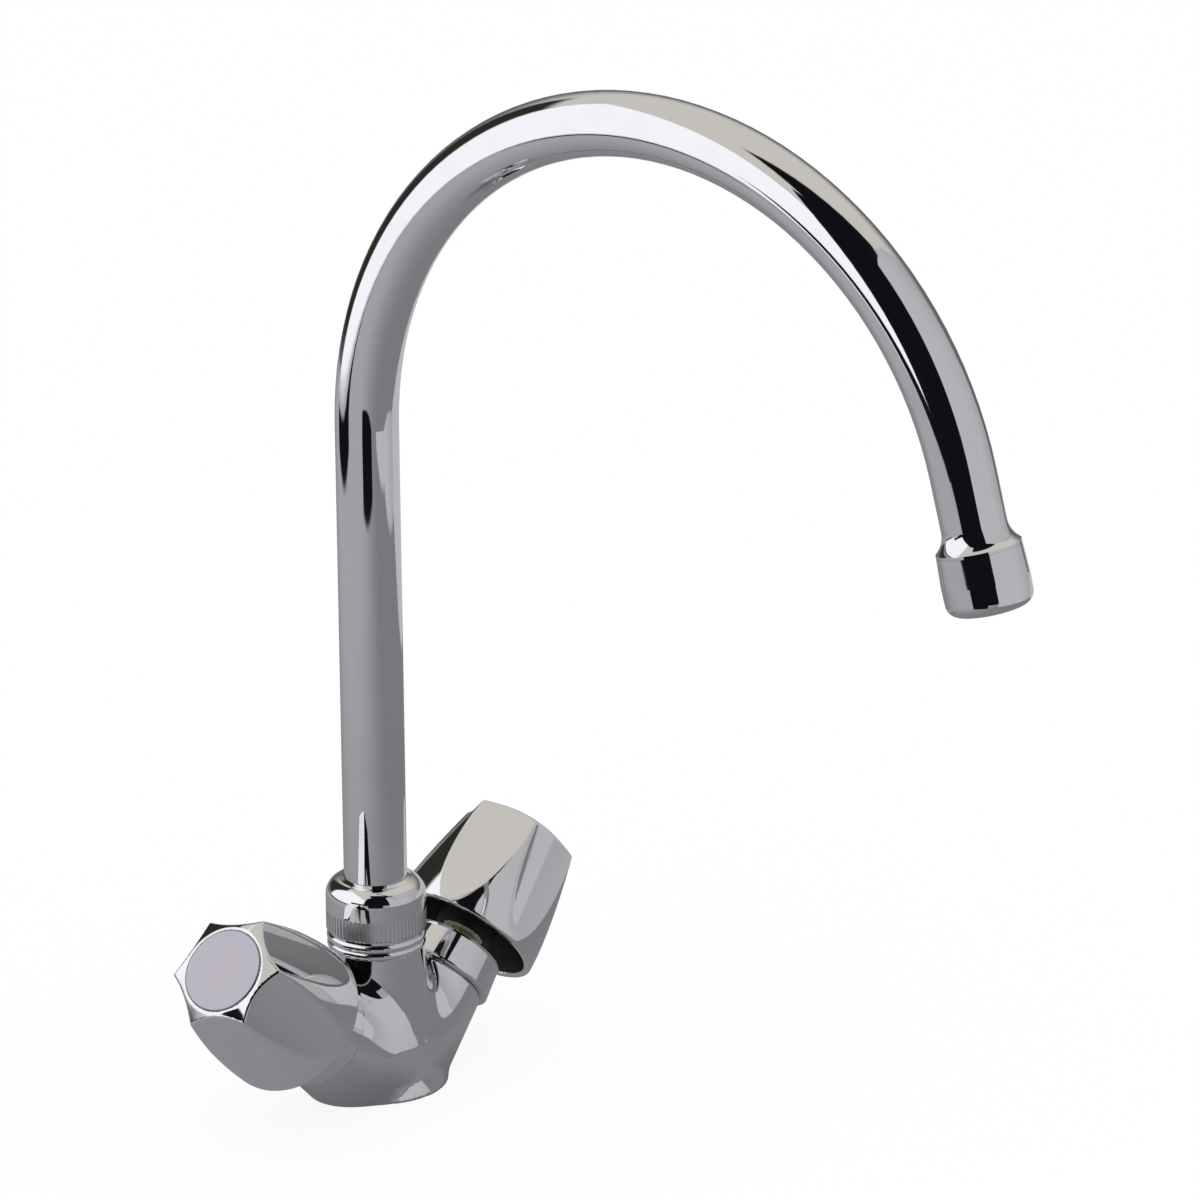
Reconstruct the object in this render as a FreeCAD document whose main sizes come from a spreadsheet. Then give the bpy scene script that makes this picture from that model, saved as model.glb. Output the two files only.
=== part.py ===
import FreeCAD, Part
import Sketcher
import math
import os

# A deck-mounted kitchen mixer tap with two handles and a swivelling swan-neck spout.
#
# Frame: millimetres, +Z up, origin at the centre of the base on the deck.  The spout reaches
# forward along -Y.  The two arms lie in the XZ plane: -X is the hot side, +X the cold side.
# Everything on an arm is drawn along the arm's own axis, which starts at the origin, so a
# height in those outlines is a distance from the origin along the arm.

doc = FreeCAD.newDocument("kitchen_tap")
size = doc.addObject("Spreadsheet::Sheet", "size")
parts = []


SIZES = {
    # casting
    "base_radius": 20.25,  # foot of the casting
    "base_band": 5.5,  # height of the foot's upright side
    "base_round": 1.5,  # rounding under the foot
    "barrel_top_radius": 13.5,  # barrel where it meets the bead
    "barrel_height": 41.8,  # top of the barrel
    "bead_height": 2.2,  # each rounded bead under the nut
    "bead_step": 0.1,  # how far a bead's foot stands out from the barrel
    "bead_curve": 1.45,  # radius of a bead's section
    "neck_radius": 12.0,  # threaded neck under the nut
    "neck_length": 10.0,  # threaded neck, from the bead to its top
    "neck_bore_radius": 9.6,  # bore that the spout's tail turns in
    "neck_bore_depth": 26.0,  # depth of that bore, from the neck's top
    "mixing_radius": 7.5,  # chamber where hot and cold meet
    "mixing_floor": 20.0,  # floor of the mixing chamber above the deck
    "gallery_radius": 2.75,  # passage from a valve to the mixing chamber
    "gallery_height": 23.0,  # passage's axis above the deck
    "gallery_reach": 17.0,  # passage's end, from the centre
    "arm_angle": 39.6,  # rise of each arm above the deck, degrees
    "arm_length": 35.3,  # origin to the machined end of the arm
    "arm_end_radius": 14.0,  # arm at its machined end
    "arm_foot_radius": 17.15,  # arm where its axis meets the deck
    # underside
    "inlet_radius": 4.5,  # tapped bore for an M10 x 1 flexible tail
    "inlet_offset": 8.5,  # inlet's axis, from the centre
    "inlet_depth": 13.5,  # depth of the inlet bore
    "stud_radius": 3.4,  # tapped bore for the M8 fixing stud
    "stud_offset": 11.0,  # stud's axis, from the centre
    "stud_depth": 12.0,  # depth of the stud's bore
    "base_ring_radius": 17.3,  # base seal, centre line
    "base_ring_section": 0.9,  # base seal, radius of its section
    "base_groove_half": 1.1,  # half the width of the base seal's groove
    "seal_room": 0.05,  # room between a seal and its groove
    # valves
    "seat_distance": 18.0,  # valve seat, from the origin along the arm
    "seat_pocket_radius": 4.8,  # opening in the middle of the seat
    "seat_pocket_depth": 1.5,  # depth of that opening
    "chamber_radius": 9.3,  # bore round the valve
    "headwork_thread": 5.5,  # length of the thread that holds the valve
    "headwork_thread_radius": 10.4,  # that thread
    "fit_room": 0.05,  # radial room in a screwed or pressed joint
    "running_room": 0.08,  # radial room of a turning shaft
    "end_room": 0.1,  # end play of a turning piece
    "oring_room": 0.02,  # room between an O-ring and its groove
    "seal_lift": 0.2,  # valve shell's foot above the seat
    "shell_wall": 1.45,  # wall of the valve's shell
    "seat_seal_height": 1.8,  # rubber seal under the ceramic discs
    "seat_seal_bore": 5.2,  # hole in that seal
    "ceramic_height": 2.2,  # each ceramic disc
    "ceramic_gap": 0.02,  # film between the two ceramic discs
    "port_radius": 1.9,  # each port through a ceramic disc
    "port_offset": 4.6,  # port's axis, from the disc's axis
    "dog_width": 3.0,  # dog that turns the moving disc
    "dog_length": 13.0,  # that dog, from end to end
    "dog_height": 3.0,  # that dog, from the slot's floor to the thrust collar
    "dog_slot": 1.0,  # depth of the dog's slot in the disc
    "thrust_height": 2.2,  # thrust collar of the spindle
    "thrust_radius": 7.0,  # thrust collar of the spindle
    "window_width": 7.0,  # window in the valve's shell
    "window_height": 4.0,  # window in the valve's shell
    "spindle_radius": 5.0,  # spindle in the valve's nose
    "spindle_groove_depth": 1.2,  # groove for the spindle's O-ring
    "spindle_groove_width": 1.6,  # groove for the spindle's O-ring
    "spindle_groove_setback": 9.0,  # groove below the nose's top
    "spline_radius": 3.9,  # splined end of the spindle
    "spline_teeth": 20,  # teeth on the splined end
    "spline_depth": 0.35,  # depth of the splines
    "shoulder_seal_height": 0.8,  # flat seal under the valve's flange
    "shoulder_seal_radius": 12.0,  # flat seal and the valve's flange
    "flange_height": 1.8,  # valve's flange
    "hex_height": 5.7,  # valve's hexagon
    "hex_radius": 10.9,  # valve's hexagon, to a corner
    "nose_radius": 8.0,  # valve's threaded nose
    "nose_height": 1.2,  # nose above the sleeve
    "clip_thickness": 0.7,  # clip that holds the spindle
    "clip_radius": 6.8,  # that clip, outside
    "clip_groove_radius": 3.3,  # spindle in the clip's groove
    "clip_mouth": 5.0,  # open side of the clip
    "sleeve_length": 10.5,  # chromed sleeve over the valve
    "sleeve_foot_radius": 15.6,  # sleeve at the arm
    "sleeve_foot_round": 0.9,  # rounding of the sleeve's foot
    "sleeve_top_radius": 14.3,  # sleeve at its top
    "sleeve_wall": 1.8,  # wall of the sleeve
    "sleeve_web": 2.0,  # top of the sleeve, screwed on the nose
    # handles
    "knob_gap": 4.1,  # sleeve's top to the knob's rim
    "knob_length": 35.4,  # knob, from its rim to its corners
    "knob_rim_radius": 22.4,  # knob at its rim
    "knob_rim_band": 1.7,  # round band at the rim
    "knob_flank_curve": 175.0,  # radius of the knob's slightly rounded flank
    "knob_corner_radius": 17.8,  # knob at its corners
    "knob_crown_height": 2.05,  # sloping crown, from the corners to the face
    "knob_face_lip": 0.3,  # flat lip of the face round the index cap
    "knob_skirt_wall": 2.1,  # wall of the knob's skirt at its rim
    "knob_skirt_depth": 24.1,  # depth of the hollow skirt
    "knob_skirt_top_radius": 13.4,  # hollow skirt at its roof
    "scoop_radius": 36.5,  # round of each finger scoop
    "scoop_floor": 14.3,  # middle of a scoop level with the corners, from the knob's axis
    "scoop_tilt": 13.4,  # lean of a scoop, degrees
    "scoop_count": 6,  # finger scoops round a knob
    "hot_knob_turn": 15.5,  # where the hot knob's scoops start, degrees
    "cold_knob_turn": 15.5,  # where the cold knob's scoops start, degrees
    "hub_radius": 8.8,  # knob's hub
    "hub_setback": 0.6,  # hub's foot inside the rim
    "hub_depth": 11.1,  # hub's socket, from the rim
    "hub_web": 2.5,  # web that the screw clamps
    "insert_radius": 6.3,  # splined insert in the hub
    "screw_radius": 1.95,  # knob screw's shank
    "screw_length": 11.0,  # knob screw below its head
    "screw_head_radius": 3.6,  # knob screw's head
    "screw_head_height": 2.6,  # knob screw's head
    "screw_key_radius": 1.7,  # hexagon socket in the head, to a corner
    "screw_key_depth": 1.6,  # hexagon socket in the head
    "screw_tunnel_radius": 4.6,  # tunnel from the face to the screw
    "cap_radius": 12.1,  # index cap
    "cap_recess": 1.8,  # index cap's seat below the face
    "cap_proud": 0.2,  # index cap above the face
    "cap_edge": 0.3,  # bevel round the index cap
    "cap_plug_length": 5.0,  # plug that holds the index cap
    # spout
    "tube_radius": 9.0,  # spout tube, outside
    "tube_wall": 1.0,  # spout tube's wall
    "arch_height": 198.8,  # start of the arch above the deck
    "arch_radius": 104.1,  # arch, to the tube's centre line
    "arch_turn": 165.0,  # angle of the arch, degrees
    "tube_end": 14.2,  # straight end of the tube after the arch
    "washer_height": 0.8,  # washer under the spout's flange
    "washer_radius": 11.6,  # washer and retaining ring, outside
    "spout_flange_height": 1.5,  # flange that the nut traps
    "spout_flange_radius": 11.3,  # flange that the nut traps
    "spigot_length": 7.6,  # tail's spigot inside the tube
    "tail_length": 24.0,  # tail, from its foot to the neck's top
    "tail_bore_radius": 6.4,  # waterway through the tail
    "oring_groove_width": 2.2,  # grooves for the tail's O-rings
    "oring_groove_depth": 1.6,  # grooves for the tail's O-rings
    "oring_low": 4.0,  # lower groove's foot above the tail's foot
    "oring_high": 12.0,  # upper groove's foot above the tail's foot
    "retainer_height": 1.8,  # ring over the flange
    "retainer_split": 3.0,  # gap that lets the ring open
    # nut
    "nut_radius": 14.3,  # nut's bands, outside
    "nut_bead_foot": 0.2,  # how far the nut's bead starts outside its groove
    "nut_groove_radius": 13.5,  # groove between the bead and the knurled band
    "nut_groove_height": 0.8,  # that groove
    "nut_lead": 0.5,  # bevel under the knurled band
    "knurl_height": 5.9,  # knurled band
    "knurl_teeth": 72,  # grooves round the knurled band
    "knurl_depth": 0.35,  # depth of those grooves
    "knurl_half_width": 0.3,  # half the width of those grooves
    "nut_plain_height": 4.0,  # plain band above the knurled one
    "nut_shoulder": 5.0,  # round of the nut's shoulder
    "nut_shoulder_height": 4.9,  # height of that round
    "nut_shoulder_width": 4.0,  # width of that round
    "nut_lip": 0.5,  # sloping top round the tube
    # outlet
    "flare_length": 5.5,  # flare at the end of the spout
    "rim_radius": 11.7,  # sharp rim at the end of the flare
    "flare_curve": 6.95,  # radius of the flare's section
    "rim_height": 0.8,  # upright edge of the rim
    "outlet_thread_radius": 10.9,  # thread of the aerator
    "outlet_thread_length": 6.5,  # thread of the aerator
    "outlet_bore_radius": 6.9,  # waterway through the outlet
    "outlet_spigot": 6.0,  # outlet's spigot inside the tube
    "aerator_length": 16.6,  # aerator's housing
    "aerator_waist_radius": 12.1,  # housing at its widest
    "aerator_waist": 9.0,  # widest place below the rim
    "aerator_corner": 3.5,  # round at the housing's mouth
    "aerator_foot_radius": 12.0,  # housing where that round starts
    "aerator_seat_radius": 10.2,  # bore that holds the insert
    "aerator_lip": 1.2,  # lip under the insert
    "aerator_mouth_radius": 8.5,  # mouth of the housing
    "aerator_washer_height": 1.4,  # rubber washer above the insert
    "aerator_washer_bore": 7.6,  # hole in that washer
    "screen_thickness": 0.5,  # strainer
    "screen_hole_radius": 0.55,  # holes in the strainer
    "jet_hole_radius": 0.85,  # holes in the insert
    "hole_ring_pitch": 2.3,  # distance between the rings of holes
}


def fill_sheet():
    """Put each size in a row of the sheet, with its name as the cell's alias."""
    for row, (name, number) in enumerate(SIZES.items(), 1):
        size.set("A%d" % row, name)
        size.set("B%d" % row, str(number))
        size.setAlias("B%d" % row, name)


fill_sheet()
doc.recompute()


def add(*terms):
    """The sum of several lengths, as one expression."""
    return "(" + " + ".join(terms) + ")"


def less(first, *terms):
    """A length with others taken from it, as one expression."""
    return "(" + " - ".join((first,) + terms) + ")"


# Heights above the deck.
NECK_SHOULDER = add("size.barrel_height", "size.bead_height")
NECK_TOP = add(NECK_SHOULDER, "size.neck_length")
NECK_BORE_FOOT = less(NECK_TOP, "size.neck_bore_depth")
TAIL_FOOT = less(NECK_TOP, "size.tail_length")
LOW_GROOVE_FOOT = add(TAIL_FOOT, "size.oring_low")
LOW_GROOVE_TOP = add(LOW_GROOVE_FOOT, "size.oring_groove_width")
HIGH_GROOVE_FOOT = add(TAIL_FOOT, "size.oring_high")
HIGH_GROOVE_TOP = add(HIGH_GROOVE_FOOT, "size.oring_groove_width")
TAIL_RADIUS = less("size.neck_bore_radius", "size.running_room")
TAIL_GROOVE_RADIUS = less(TAIL_RADIUS, "size.oring_groove_depth")
FLANGE_FOOT = add(NECK_TOP, "size.washer_height", "size.end_room")
TUBE_FOOT = add(FLANGE_FOOT, "size.spout_flange_height")
RETAINER_FOOT = add(TUBE_FOOT, "size.end_room")
RETAINER_TOP = add(RETAINER_FOOT, "size.retainer_height")
NUT_CEILING = add(RETAINER_TOP, "size.end_room")
NUT_FOOT = add(NECK_SHOULDER, "size.end_room")
NUT_BEAD_TOP = add(NUT_FOOT, "size.bead_height")
NUT_GROOVE_TOP = add(NUT_BEAD_TOP, "size.nut_groove_height")
KNURL_FOOT = add(NUT_GROOVE_TOP, "size.nut_lead")
KNURL_TOP = add(KNURL_FOOT, "size.knurl_height")
NUT_SHOULDER_FOOT = add(KNURL_TOP, "size.nut_plain_height")
TUBE_BORE = less("size.tube_radius", "size.tube_wall")

# Distances along an arm, from the origin.
SEAT_SEAL_TOP = add("size.seat_distance", "size.seat_seal_height")
FIXED_DISC_TOP = add(SEAT_SEAL_TOP, "size.ceramic_height")
MOVING_DISC_FOOT = add(FIXED_DISC_TOP, "size.ceramic_gap")
MOVING_DISC_TOP = add(MOVING_DISC_FOOT, "size.ceramic_height")
DOG_FOOT = less(MOVING_DISC_TOP, "size.dog_slot")
THRUST_FOOT = add(DOG_FOOT, "size.dog_height")
THRUST_TOP = add(THRUST_FOOT, "size.thrust_height")
SHELL_CEILING = add(THRUST_TOP, "size.end_room")
THREAD_FOOT = less("size.arm_length", "size.headwork_thread")
SHELL_RADIUS = less("size.chamber_radius", "size.fit_room")
SHELL_BORE = less(SHELL_RADIUS, "size.shell_wall")
HEAD_FLANGE_FOOT = add("size.arm_length", "size.shoulder_seal_height")
HEAD_FLANGE_TOP = add(HEAD_FLANGE_FOOT, "size.flange_height")
HEX_TOP = add(HEAD_FLANGE_TOP, "size.hex_height")
SLEEVE_TOP = add("size.arm_length", "size.sleeve_length")
NOSE_TOP = add(SLEEVE_TOP, "size.nose_height")
CLIP_FOOT = add(NOSE_TOP, "size.end_room")
CLIP_TOP = add(CLIP_FOOT, "size.clip_thickness")
SPINDLE_BORE = add("size.spindle_radius", "size.running_room")
SPINDLE_GROOVE_FOOT = less(NOSE_TOP, "size.spindle_groove_setback")
SPINDLE_GROOVE_TOP = add(SPINDLE_GROOVE_FOOT, "size.spindle_groove_width")
SPINDLE_GROOVE_RADIUS = less("size.spindle_radius", "size.spindle_groove_depth")
KNOB_RIM = add(SLEEVE_TOP, "size.knob_gap")
KNOB_CORNER = add(KNOB_RIM, "size.knob_length")
KNOB_FACE = add(KNOB_CORNER, "size.knob_crown_height")
HUB_FOOT = add(KNOB_RIM, "size.hub_setback")
HUB_SOCKET_TOP = add(KNOB_RIM, "size.hub_depth")
SCREW_SEAT = add(HUB_SOCKET_TOP, "size.hub_web")
SPINDLE_END = less(HUB_SOCKET_TOP, "size.end_room")
SCREW_TIP = less(SCREW_SEAT, "size.screw_length")
SCREW_BORE = add("size.screw_radius", "size.fit_room")
SKIRT_ROOF = add(KNOB_RIM, "size.knob_skirt_depth")
CAP_SEAT = less(KNOB_FACE, "size.cap_recess")
CAP_FOOT = add(CAP_SEAT, "size.fit_room")
CAP_TOP = add(KNOB_FACE, "size.cap_proud")

# Distances along the end of the spout, from the end of the arch.
FLARE_TOP = "size.tube_end"
RIM_TOP = add(FLARE_TOP, "size.flare_length")
RIM_FOOT = add(RIM_TOP, "size.rim_height")
HOUSING_TOP = add(RIM_FOOT, "size.fit_room")
HOUSING_FOOT = add(HOUSING_TOP, "size.aerator_length")
OUTLET_FOOT = add(RIM_FOOT, "size.outlet_thread_length")
WASHER_TOP = add(OUTLET_FOOT, "size.fit_room")
WASHER_FOOT = add(WASHER_TOP, "size.aerator_washer_height")
SCREEN_TOP = add(WASHER_FOOT, "size.fit_room")
SCREEN_FOOT = add(SCREEN_TOP, "size.screen_thickness")
INSERT_TOP = add(SCREEN_FOOT, "size.fit_room")
LIP_TOP = less(HOUSING_FOOT, "size.aerator_lip")
INSERT_FOOT = less(LIP_TOP, "size.fit_room")


def value(expression):
    """What an expression comes to with the sheet's present numbers."""
    return float(size.evalExpression(expression))


def origin_feature(body, role):
    """A body's own origin plane or axis."""
    for feature in body.Origin.OriginFeatures:
        if feature.Role == role:
            return feature


def start_body(label):
    """An empty body that stands for one piece, or for one tool that shapes a piece."""
    body = doc.addObject("PartDesign::Body", label)
    body.Label = label
    return body


def start_sketch(body, name, plane):
    """An empty sketch on one of a body's own planes."""
    sketch = body.newObject("Sketcher::SketchObject", body.Name + "_" + name)
    sketch.AttachmentSupport = [(origin_feature(body, plane), "")]
    sketch.MapMode = "FlatFace"
    return sketch


def hold(sketch, kind, geometry, corner, expression):
    """Bind one coordinate of a sketch's point to the sheet."""
    number = sketch.addConstraint(Sketcher.Constraint(kind, -1, 1, geometry, corner, value(expression)))
    sketch.setExpression("Constraints[%d]" % number, expression)


def arc_centre(start, end, radius, side):
    """Centre of the short arc between two points; side 1 bulges to the right of the chord."""
    middle = (start + end) * 0.5
    half = (end - start).Length / 2
    normal = FreeCAD.Vector(start.y - end.y, end.x - start.x, 0).normalize()
    return middle + normal * (side * math.sqrt(max(radius ** 2 - half ** 2, 0)))


def sketch_arc(sketch, start, end, radius_expression, side):
    """A short arc, drawn anticlockwise as a sketch wants; says which end comes first."""
    radius = value(radius_expression)
    centre = arc_centre(start, end, radius, side)
    angles = [math.atan2(point.y - centre.y, point.x - centre.x) for point in (start, end)]
    forward = (angles[1] - angles[0]) % (2 * math.pi) < math.pi
    first, last = angles if forward else reversed(angles)
    if last < first:
        last += 2 * math.pi
    circle = Part.Circle(centre, FreeCAD.Vector(0, 0, 1), radius)
    geometry = sketch.addGeometry(Part.ArcOfCircle(circle, first, last))
    number = sketch.addConstraint(Sketcher.Constraint("Radius", geometry, radius))
    sketch.setExpression("Constraints[%d]" % number, radius_expression)
    return (geometry, 1, 2) if forward else (geometry, 2, 1)


def draw_outline(sketch, outline):
    """A closed outline of (across, up) corners.

    A corner may add (radius, side): the edge that leaves it is then a short arc."""
    points = [FreeCAD.Vector(value(corner[0]), value(corner[1]), 0) for corner in outline]
    edges = []
    for number, corner in enumerate(outline):
        start = points[number]
        end = points[(number + 1) % len(points)]
        if len(corner) > 2:
            edges.append(sketch_arc(sketch, start, end, corner[2], corner[3]))
        else:
            edges.append((sketch.addGeometry(Part.LineSegment(start, end)), 1, 2))
    for number, edge in enumerate(edges):
        following = edges[(number + 1) % len(edges)]
        ends = (edge[0], edge[2], following[0], following[1])
        sketch.addConstraint(Sketcher.Constraint("Coincident", *ends))
        hold(sketch, "DistanceX", edge[0], edge[1], outline[number][0])
        hold(sketch, "DistanceY", edge[0], edge[1], outline[number][1])


def turned(label, outline):
    """A body turned on a lathe: its half outline goes round its Z axis."""
    body = start_body(label)
    sketch = start_sketch(body, "outline", "XZ_Plane")
    draw_outline(sketch, outline)
    turn = body.newObject("PartDesign::Revolution", label + "_turn")
    turn.Profile = sketch
    turn.ReferenceAxis = (sketch, ["V_Axis"])
    turn.Angle = 360
    return body


def bored_ring(label, inner, outer, foot, top):
    """A plain turned ring."""
    return turned(label, [(inner, foot), (outer, foot), (outer, top), (inner, top)])


def placed(feature, x="0", y="0", z="0", turn="0", lean="0", roll="0"):
    """Bind a feature's whole placement: turn about Z, then lean about Y, then roll about X."""
    vector = "create(<<vector>>; %s; %s; %s)" % (x, y, z)
    rotation = "create(<<rotation>>; %s; %s; %s)" % (turn, lean, roll)
    feature.setExpression("Placement", "create(<<placement>>; %s; %s)" % (vector, rotation))
    return feature


def shaped(body, kind, name, sizes):
    """A primitive added to or cut from a body, its sizes bound to the sheet."""
    feature = body.newObject("PartDesign::" + kind, body.Name + "_" + name)
    for key, expression in sizes.items():
        feature.setExpression(key, expression)
    return feature


def patterned(body, feature, count):
    """Copies of one feature round a body's Z axis."""
    pattern = body.newObject("PartDesign::PolarPattern", feature.Name + "_pattern")
    pattern.Originals = [feature]
    pattern.Axis = (origin_feature(body, "Z_Axis"), [""])
    pattern.Angle = 360
    pattern.setExpression("Occurrences", count)
    body.Tip = pattern
    return pattern


def solid(kind, name, sizes):
    """A plain primitive of the document, its sizes bound to the sheet."""
    feature = doc.addObject("Part::" + kind, name)
    for key, expression in sizes.items():
        feature.setExpression(key, expression)
    return feature


def kept(feature):
    """Note a finished piece, so that it is checked and written."""
    parts.append(feature)
    return feature


def on_arm(feature, side, along="0"):
    """Lay a piece that was drawn up the Z axis along the arm on one side, and move it out along it."""
    return placed(
        feature,
        x="%d * %s * cos(size.arm_angle)" % (side, along),
        z="%s * sin(size.arm_angle)" % along,
        lean="%d * (90 - size.arm_angle)" % side,
    )


def on_spout_end(feature):
    """Carry a piece from the Z axis to the end of the arch, pointing down the spout."""
    along = "-size.arch_radius * (1 - cos(size.arch_turn))"
    up = "size.arch_height + size.arch_radius * sin(size.arch_turn)"
    return placed(feature, y=along, z=up, roll="size.arch_turn")


# ---------------------------------------------------------------- casting

def barrel():
    """Foot, hollow-curved barrel, bead and threaded neck, as one turned form."""
    rise = less("size.barrel_height", "size.base_band")
    narrowing = less("size.base_radius", "size.barrel_top_radius")
    curve = "((%s ^ 2 + %s ^ 2) / (2 * %s))" % (rise, narrowing, narrowing)
    foot = less("size.base_radius", "size.base_round")
    bead = add("size.barrel_top_radius", "size.bead_step")
    return turned("barrel", [
        ("0", "0"),
        (foot, "0", "size.base_round", 1),
        ("size.base_radius", "size.base_round"),
        ("size.base_radius", "size.base_band", curve, -1),
        ("size.barrel_top_radius", "size.barrel_height"),
        (bead, "size.barrel_height", "size.bead_curve", 1),
        (bead, NECK_SHOULDER),
        ("size.neck_radius", NECK_SHOULDER),
        ("size.neck_radius", NECK_TOP),
        ("0", NECK_TOP),
    ])


def arm_casting(name, side):
    """The cone that carries one valve; its foot runs on below the deck and is cut off there."""
    return on_arm(solid("Cone", name + "_arm", {
        "Radius1": "size.arm_foot_radius",
        "Radius2": "size.arm_end_radius",
        "Height": "size.arm_length",
    }), side)


def valve_bore(name, side):
    """Seat pocket, valve chamber and thread, bored from the end of one arm."""
    beyond = add("size.arm_length", "size.headwork_thread")
    bore = turned(name + "_valve_bore", [
        ("0", less("size.seat_distance", "size.seat_pocket_depth")),
        ("size.seat_pocket_radius", less("size.seat_distance", "size.seat_pocket_depth")),
        ("size.seat_pocket_radius", "size.seat_distance"),
        ("size.chamber_radius", "size.seat_distance"),
        ("size.chamber_radius", THREAD_FOOT),
        ("size.headwork_thread_radius", THREAD_FOOT),
        ("size.headwork_thread_radius", beyond),
        ("0", beyond),
    ])
    return on_arm(bore, side)


def inlet_bore(name, side):
    """Upright tapped bore from the underside to the seat pocket of one valve."""
    sizes = {"Radius": "size.inlet_radius", "Height": "size.inlet_depth"}
    bore = solid("Cylinder", name + "_inlet_bore", sizes)
    return placed(bore, x="%d * size.inlet_offset" % side)


def casting_cuts():
    """Everything that is bored or cut out of the casting."""
    cuts = [valve_bore("hot", -1), valve_bore("cold", 1), inlet_bore("hot", -1), inlet_bore("cold", 1)]
    neck_end = add(NECK_TOP, "size.neck_length")
    cuts.append(turned("neck_bore", [
        ("0", "size.mixing_floor"),
        ("size.mixing_radius", "size.mixing_floor"),
        ("size.mixing_radius", NECK_BORE_FOOT),
        ("size.neck_bore_radius", NECK_BORE_FOOT),
        ("size.neck_bore_radius", neck_end),
        ("0", neck_end),
    ]))
    sizes = {"Radius": "size.gallery_radius", "Height": "2 * size.gallery_reach"}
    gallery = solid("Cylinder", "gallery", sizes)
    cuts.append(placed(gallery, x="-size.gallery_reach", z="size.gallery_height", lean="90"))
    stud = solid("Cylinder", "stud_bore", {"Radius": "size.stud_radius", "Height": "size.stud_depth"})
    cuts.append(placed(stud, y="-size.stud_offset"))
    groove_roof = add("2 * size.base_ring_section", "size.seal_room")
    inner = less("size.base_ring_radius", "size.base_groove_half")
    outer = add("size.base_ring_radius", "size.base_groove_half")
    cuts.append(bored_ring("base_groove", inner, outer, "0", groove_roof))
    side = "(4 * size.arm_length)"
    below = solid("Box", "below_deck", {"Length": side, "Width": side, "Height": side})
    cuts.append(placed(below, x="-%s / 2" % side, y="-%s / 2" % side, z="-" + side))
    return cuts


def mixer_body():
    """The brass casting that everything else is mounted on."""
    outside = doc.addObject("Part::MultiFuse", "casting_outside")
    outside.Shapes = [barrel(), arm_casting("hot", -1), arm_casting("cold", 1)]
    inside = doc.addObject("Part::MultiFuse", "casting_inside")
    inside.Shapes = casting_cuts()
    casting = doc.addObject("Part::Cut", "mixer_body")
    casting.Base = outside
    casting.Tool = inside
    casting.Label = "mixer_body"
    return kept(casting)


def base_seal():
    """O-ring between the foot and the sink or worktop."""
    sizes = {"Radius1": "size.base_ring_radius", "Radius2": "size.base_ring_section"}
    return kept(placed(solid("Torus", "base_seal", sizes), z="size.base_ring_section"))


# ---------------------------------------------------------------- valves

def seat_seal(name, side):
    """Rubber seal that the water presses between the seat and the ceramic discs."""
    outer = less(SHELL_BORE, "size.fit_room")
    label = name + "_seat_seal"
    ring = bored_ring(label, "size.seat_seal_bore", outer, "size.seat_distance", SEAT_SEAL_TOP)
    return kept(on_arm(ring, side))


def ceramic_disc(label, foot, top, quarter):
    """A ceramic disc with two ports; quarter 0 puts them across the arm, 90 along the tap's front."""
    radius = less(SHELL_BORE, "size.fit_room")
    body = turned(label, [("0", foot), (radius, foot), (radius, top), ("0", top)])
    port = shaped(body, "SubtractiveCylinder", "port", {"Radius": "size.port_radius", "Height": top})
    placed(port, x="size.port_offset * cos(%d)" % quarter, y="size.port_offset * sin(%d)" % quarter)
    patterned(body, port, "2")
    return body


def fixed_disc(name, side):
    """The lower disc, which stays with the valve's shell."""
    return kept(on_arm(ceramic_disc(name + "_fixed_disc", SEAT_SEAL_TOP, FIXED_DISC_TOP, 0), side))


def moving_disc(name, side):
    """The upper disc, which the spindle turns: a quarter turn brings its ports over the lower ones."""
    body = ceramic_disc(name + "_moving_disc", MOVING_DISC_FOOT, MOVING_DISC_TOP, 90)
    length = add("size.dog_length", "2 * size.fit_room")
    width = add("size.dog_width", "2 * size.fit_room")
    sizes = {"Length": length, "Width": width, "Height": "size.dog_height"}
    slot = shaped(body, "SubtractiveBox", "slot", sizes)
    placed(slot, x="-%s / 2" % length, y="-%s / 2" % width, z=less(DOG_FOOT, "size.fit_room"))
    return kept(on_arm(body, side))


def headwork_body(name, side):
    """The valve's brass shell: windowed foot, thread, flange, hexagon and nose."""
    thread = less("size.headwork_thread_radius", "size.fit_room")
    foot = add("size.seat_distance", "size.seal_lift")
    body = turned(name + "_headwork_body", [
        (SHELL_BORE, foot),
        (SHELL_RADIUS, foot),
        (SHELL_RADIUS, THREAD_FOOT),
        (thread, add(THREAD_FOOT, "size.fit_room")),
        (thread, HEAD_FLANGE_FOOT),
        ("size.shoulder_seal_radius", HEAD_FLANGE_FOOT),
        ("size.shoulder_seal_radius", HEAD_FLANGE_TOP),
        ("size.nose_radius", HEAD_FLANGE_TOP),
        ("size.nose_radius", NOSE_TOP),
        (SPINDLE_BORE, NOSE_TOP),
        (SPINDLE_BORE, SHELL_CEILING),
        (SHELL_BORE, SHELL_CEILING),
    ])
    sizes = {"Circumradius": "size.hex_radius", "Height": "size.hex_height"}
    placed(shaped(body, "AdditivePrism", "hexagon", sizes), z=HEAD_FLANGE_TOP)
    shaft = {"Radius": SPINDLE_BORE, "Height": KNOB_FACE}
    placed(shaped(body, "SubtractiveCylinder", "shaft_bore", shaft), z=SHELL_CEILING)
    reach = add("2 * size.chamber_radius", "size.shell_wall")
    sizes = {"Length": reach, "Width": "size.window_width", "Height": "size.window_height"}
    window = shaped(body, "SubtractiveBox", "windows", sizes)
    window_foot = less(SHELL_CEILING, "size.window_height")
    placed(window, x="-%s / 2" % reach, y="-size.window_width / 2", z=window_foot)
    return kept(on_arm(body, side))


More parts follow.
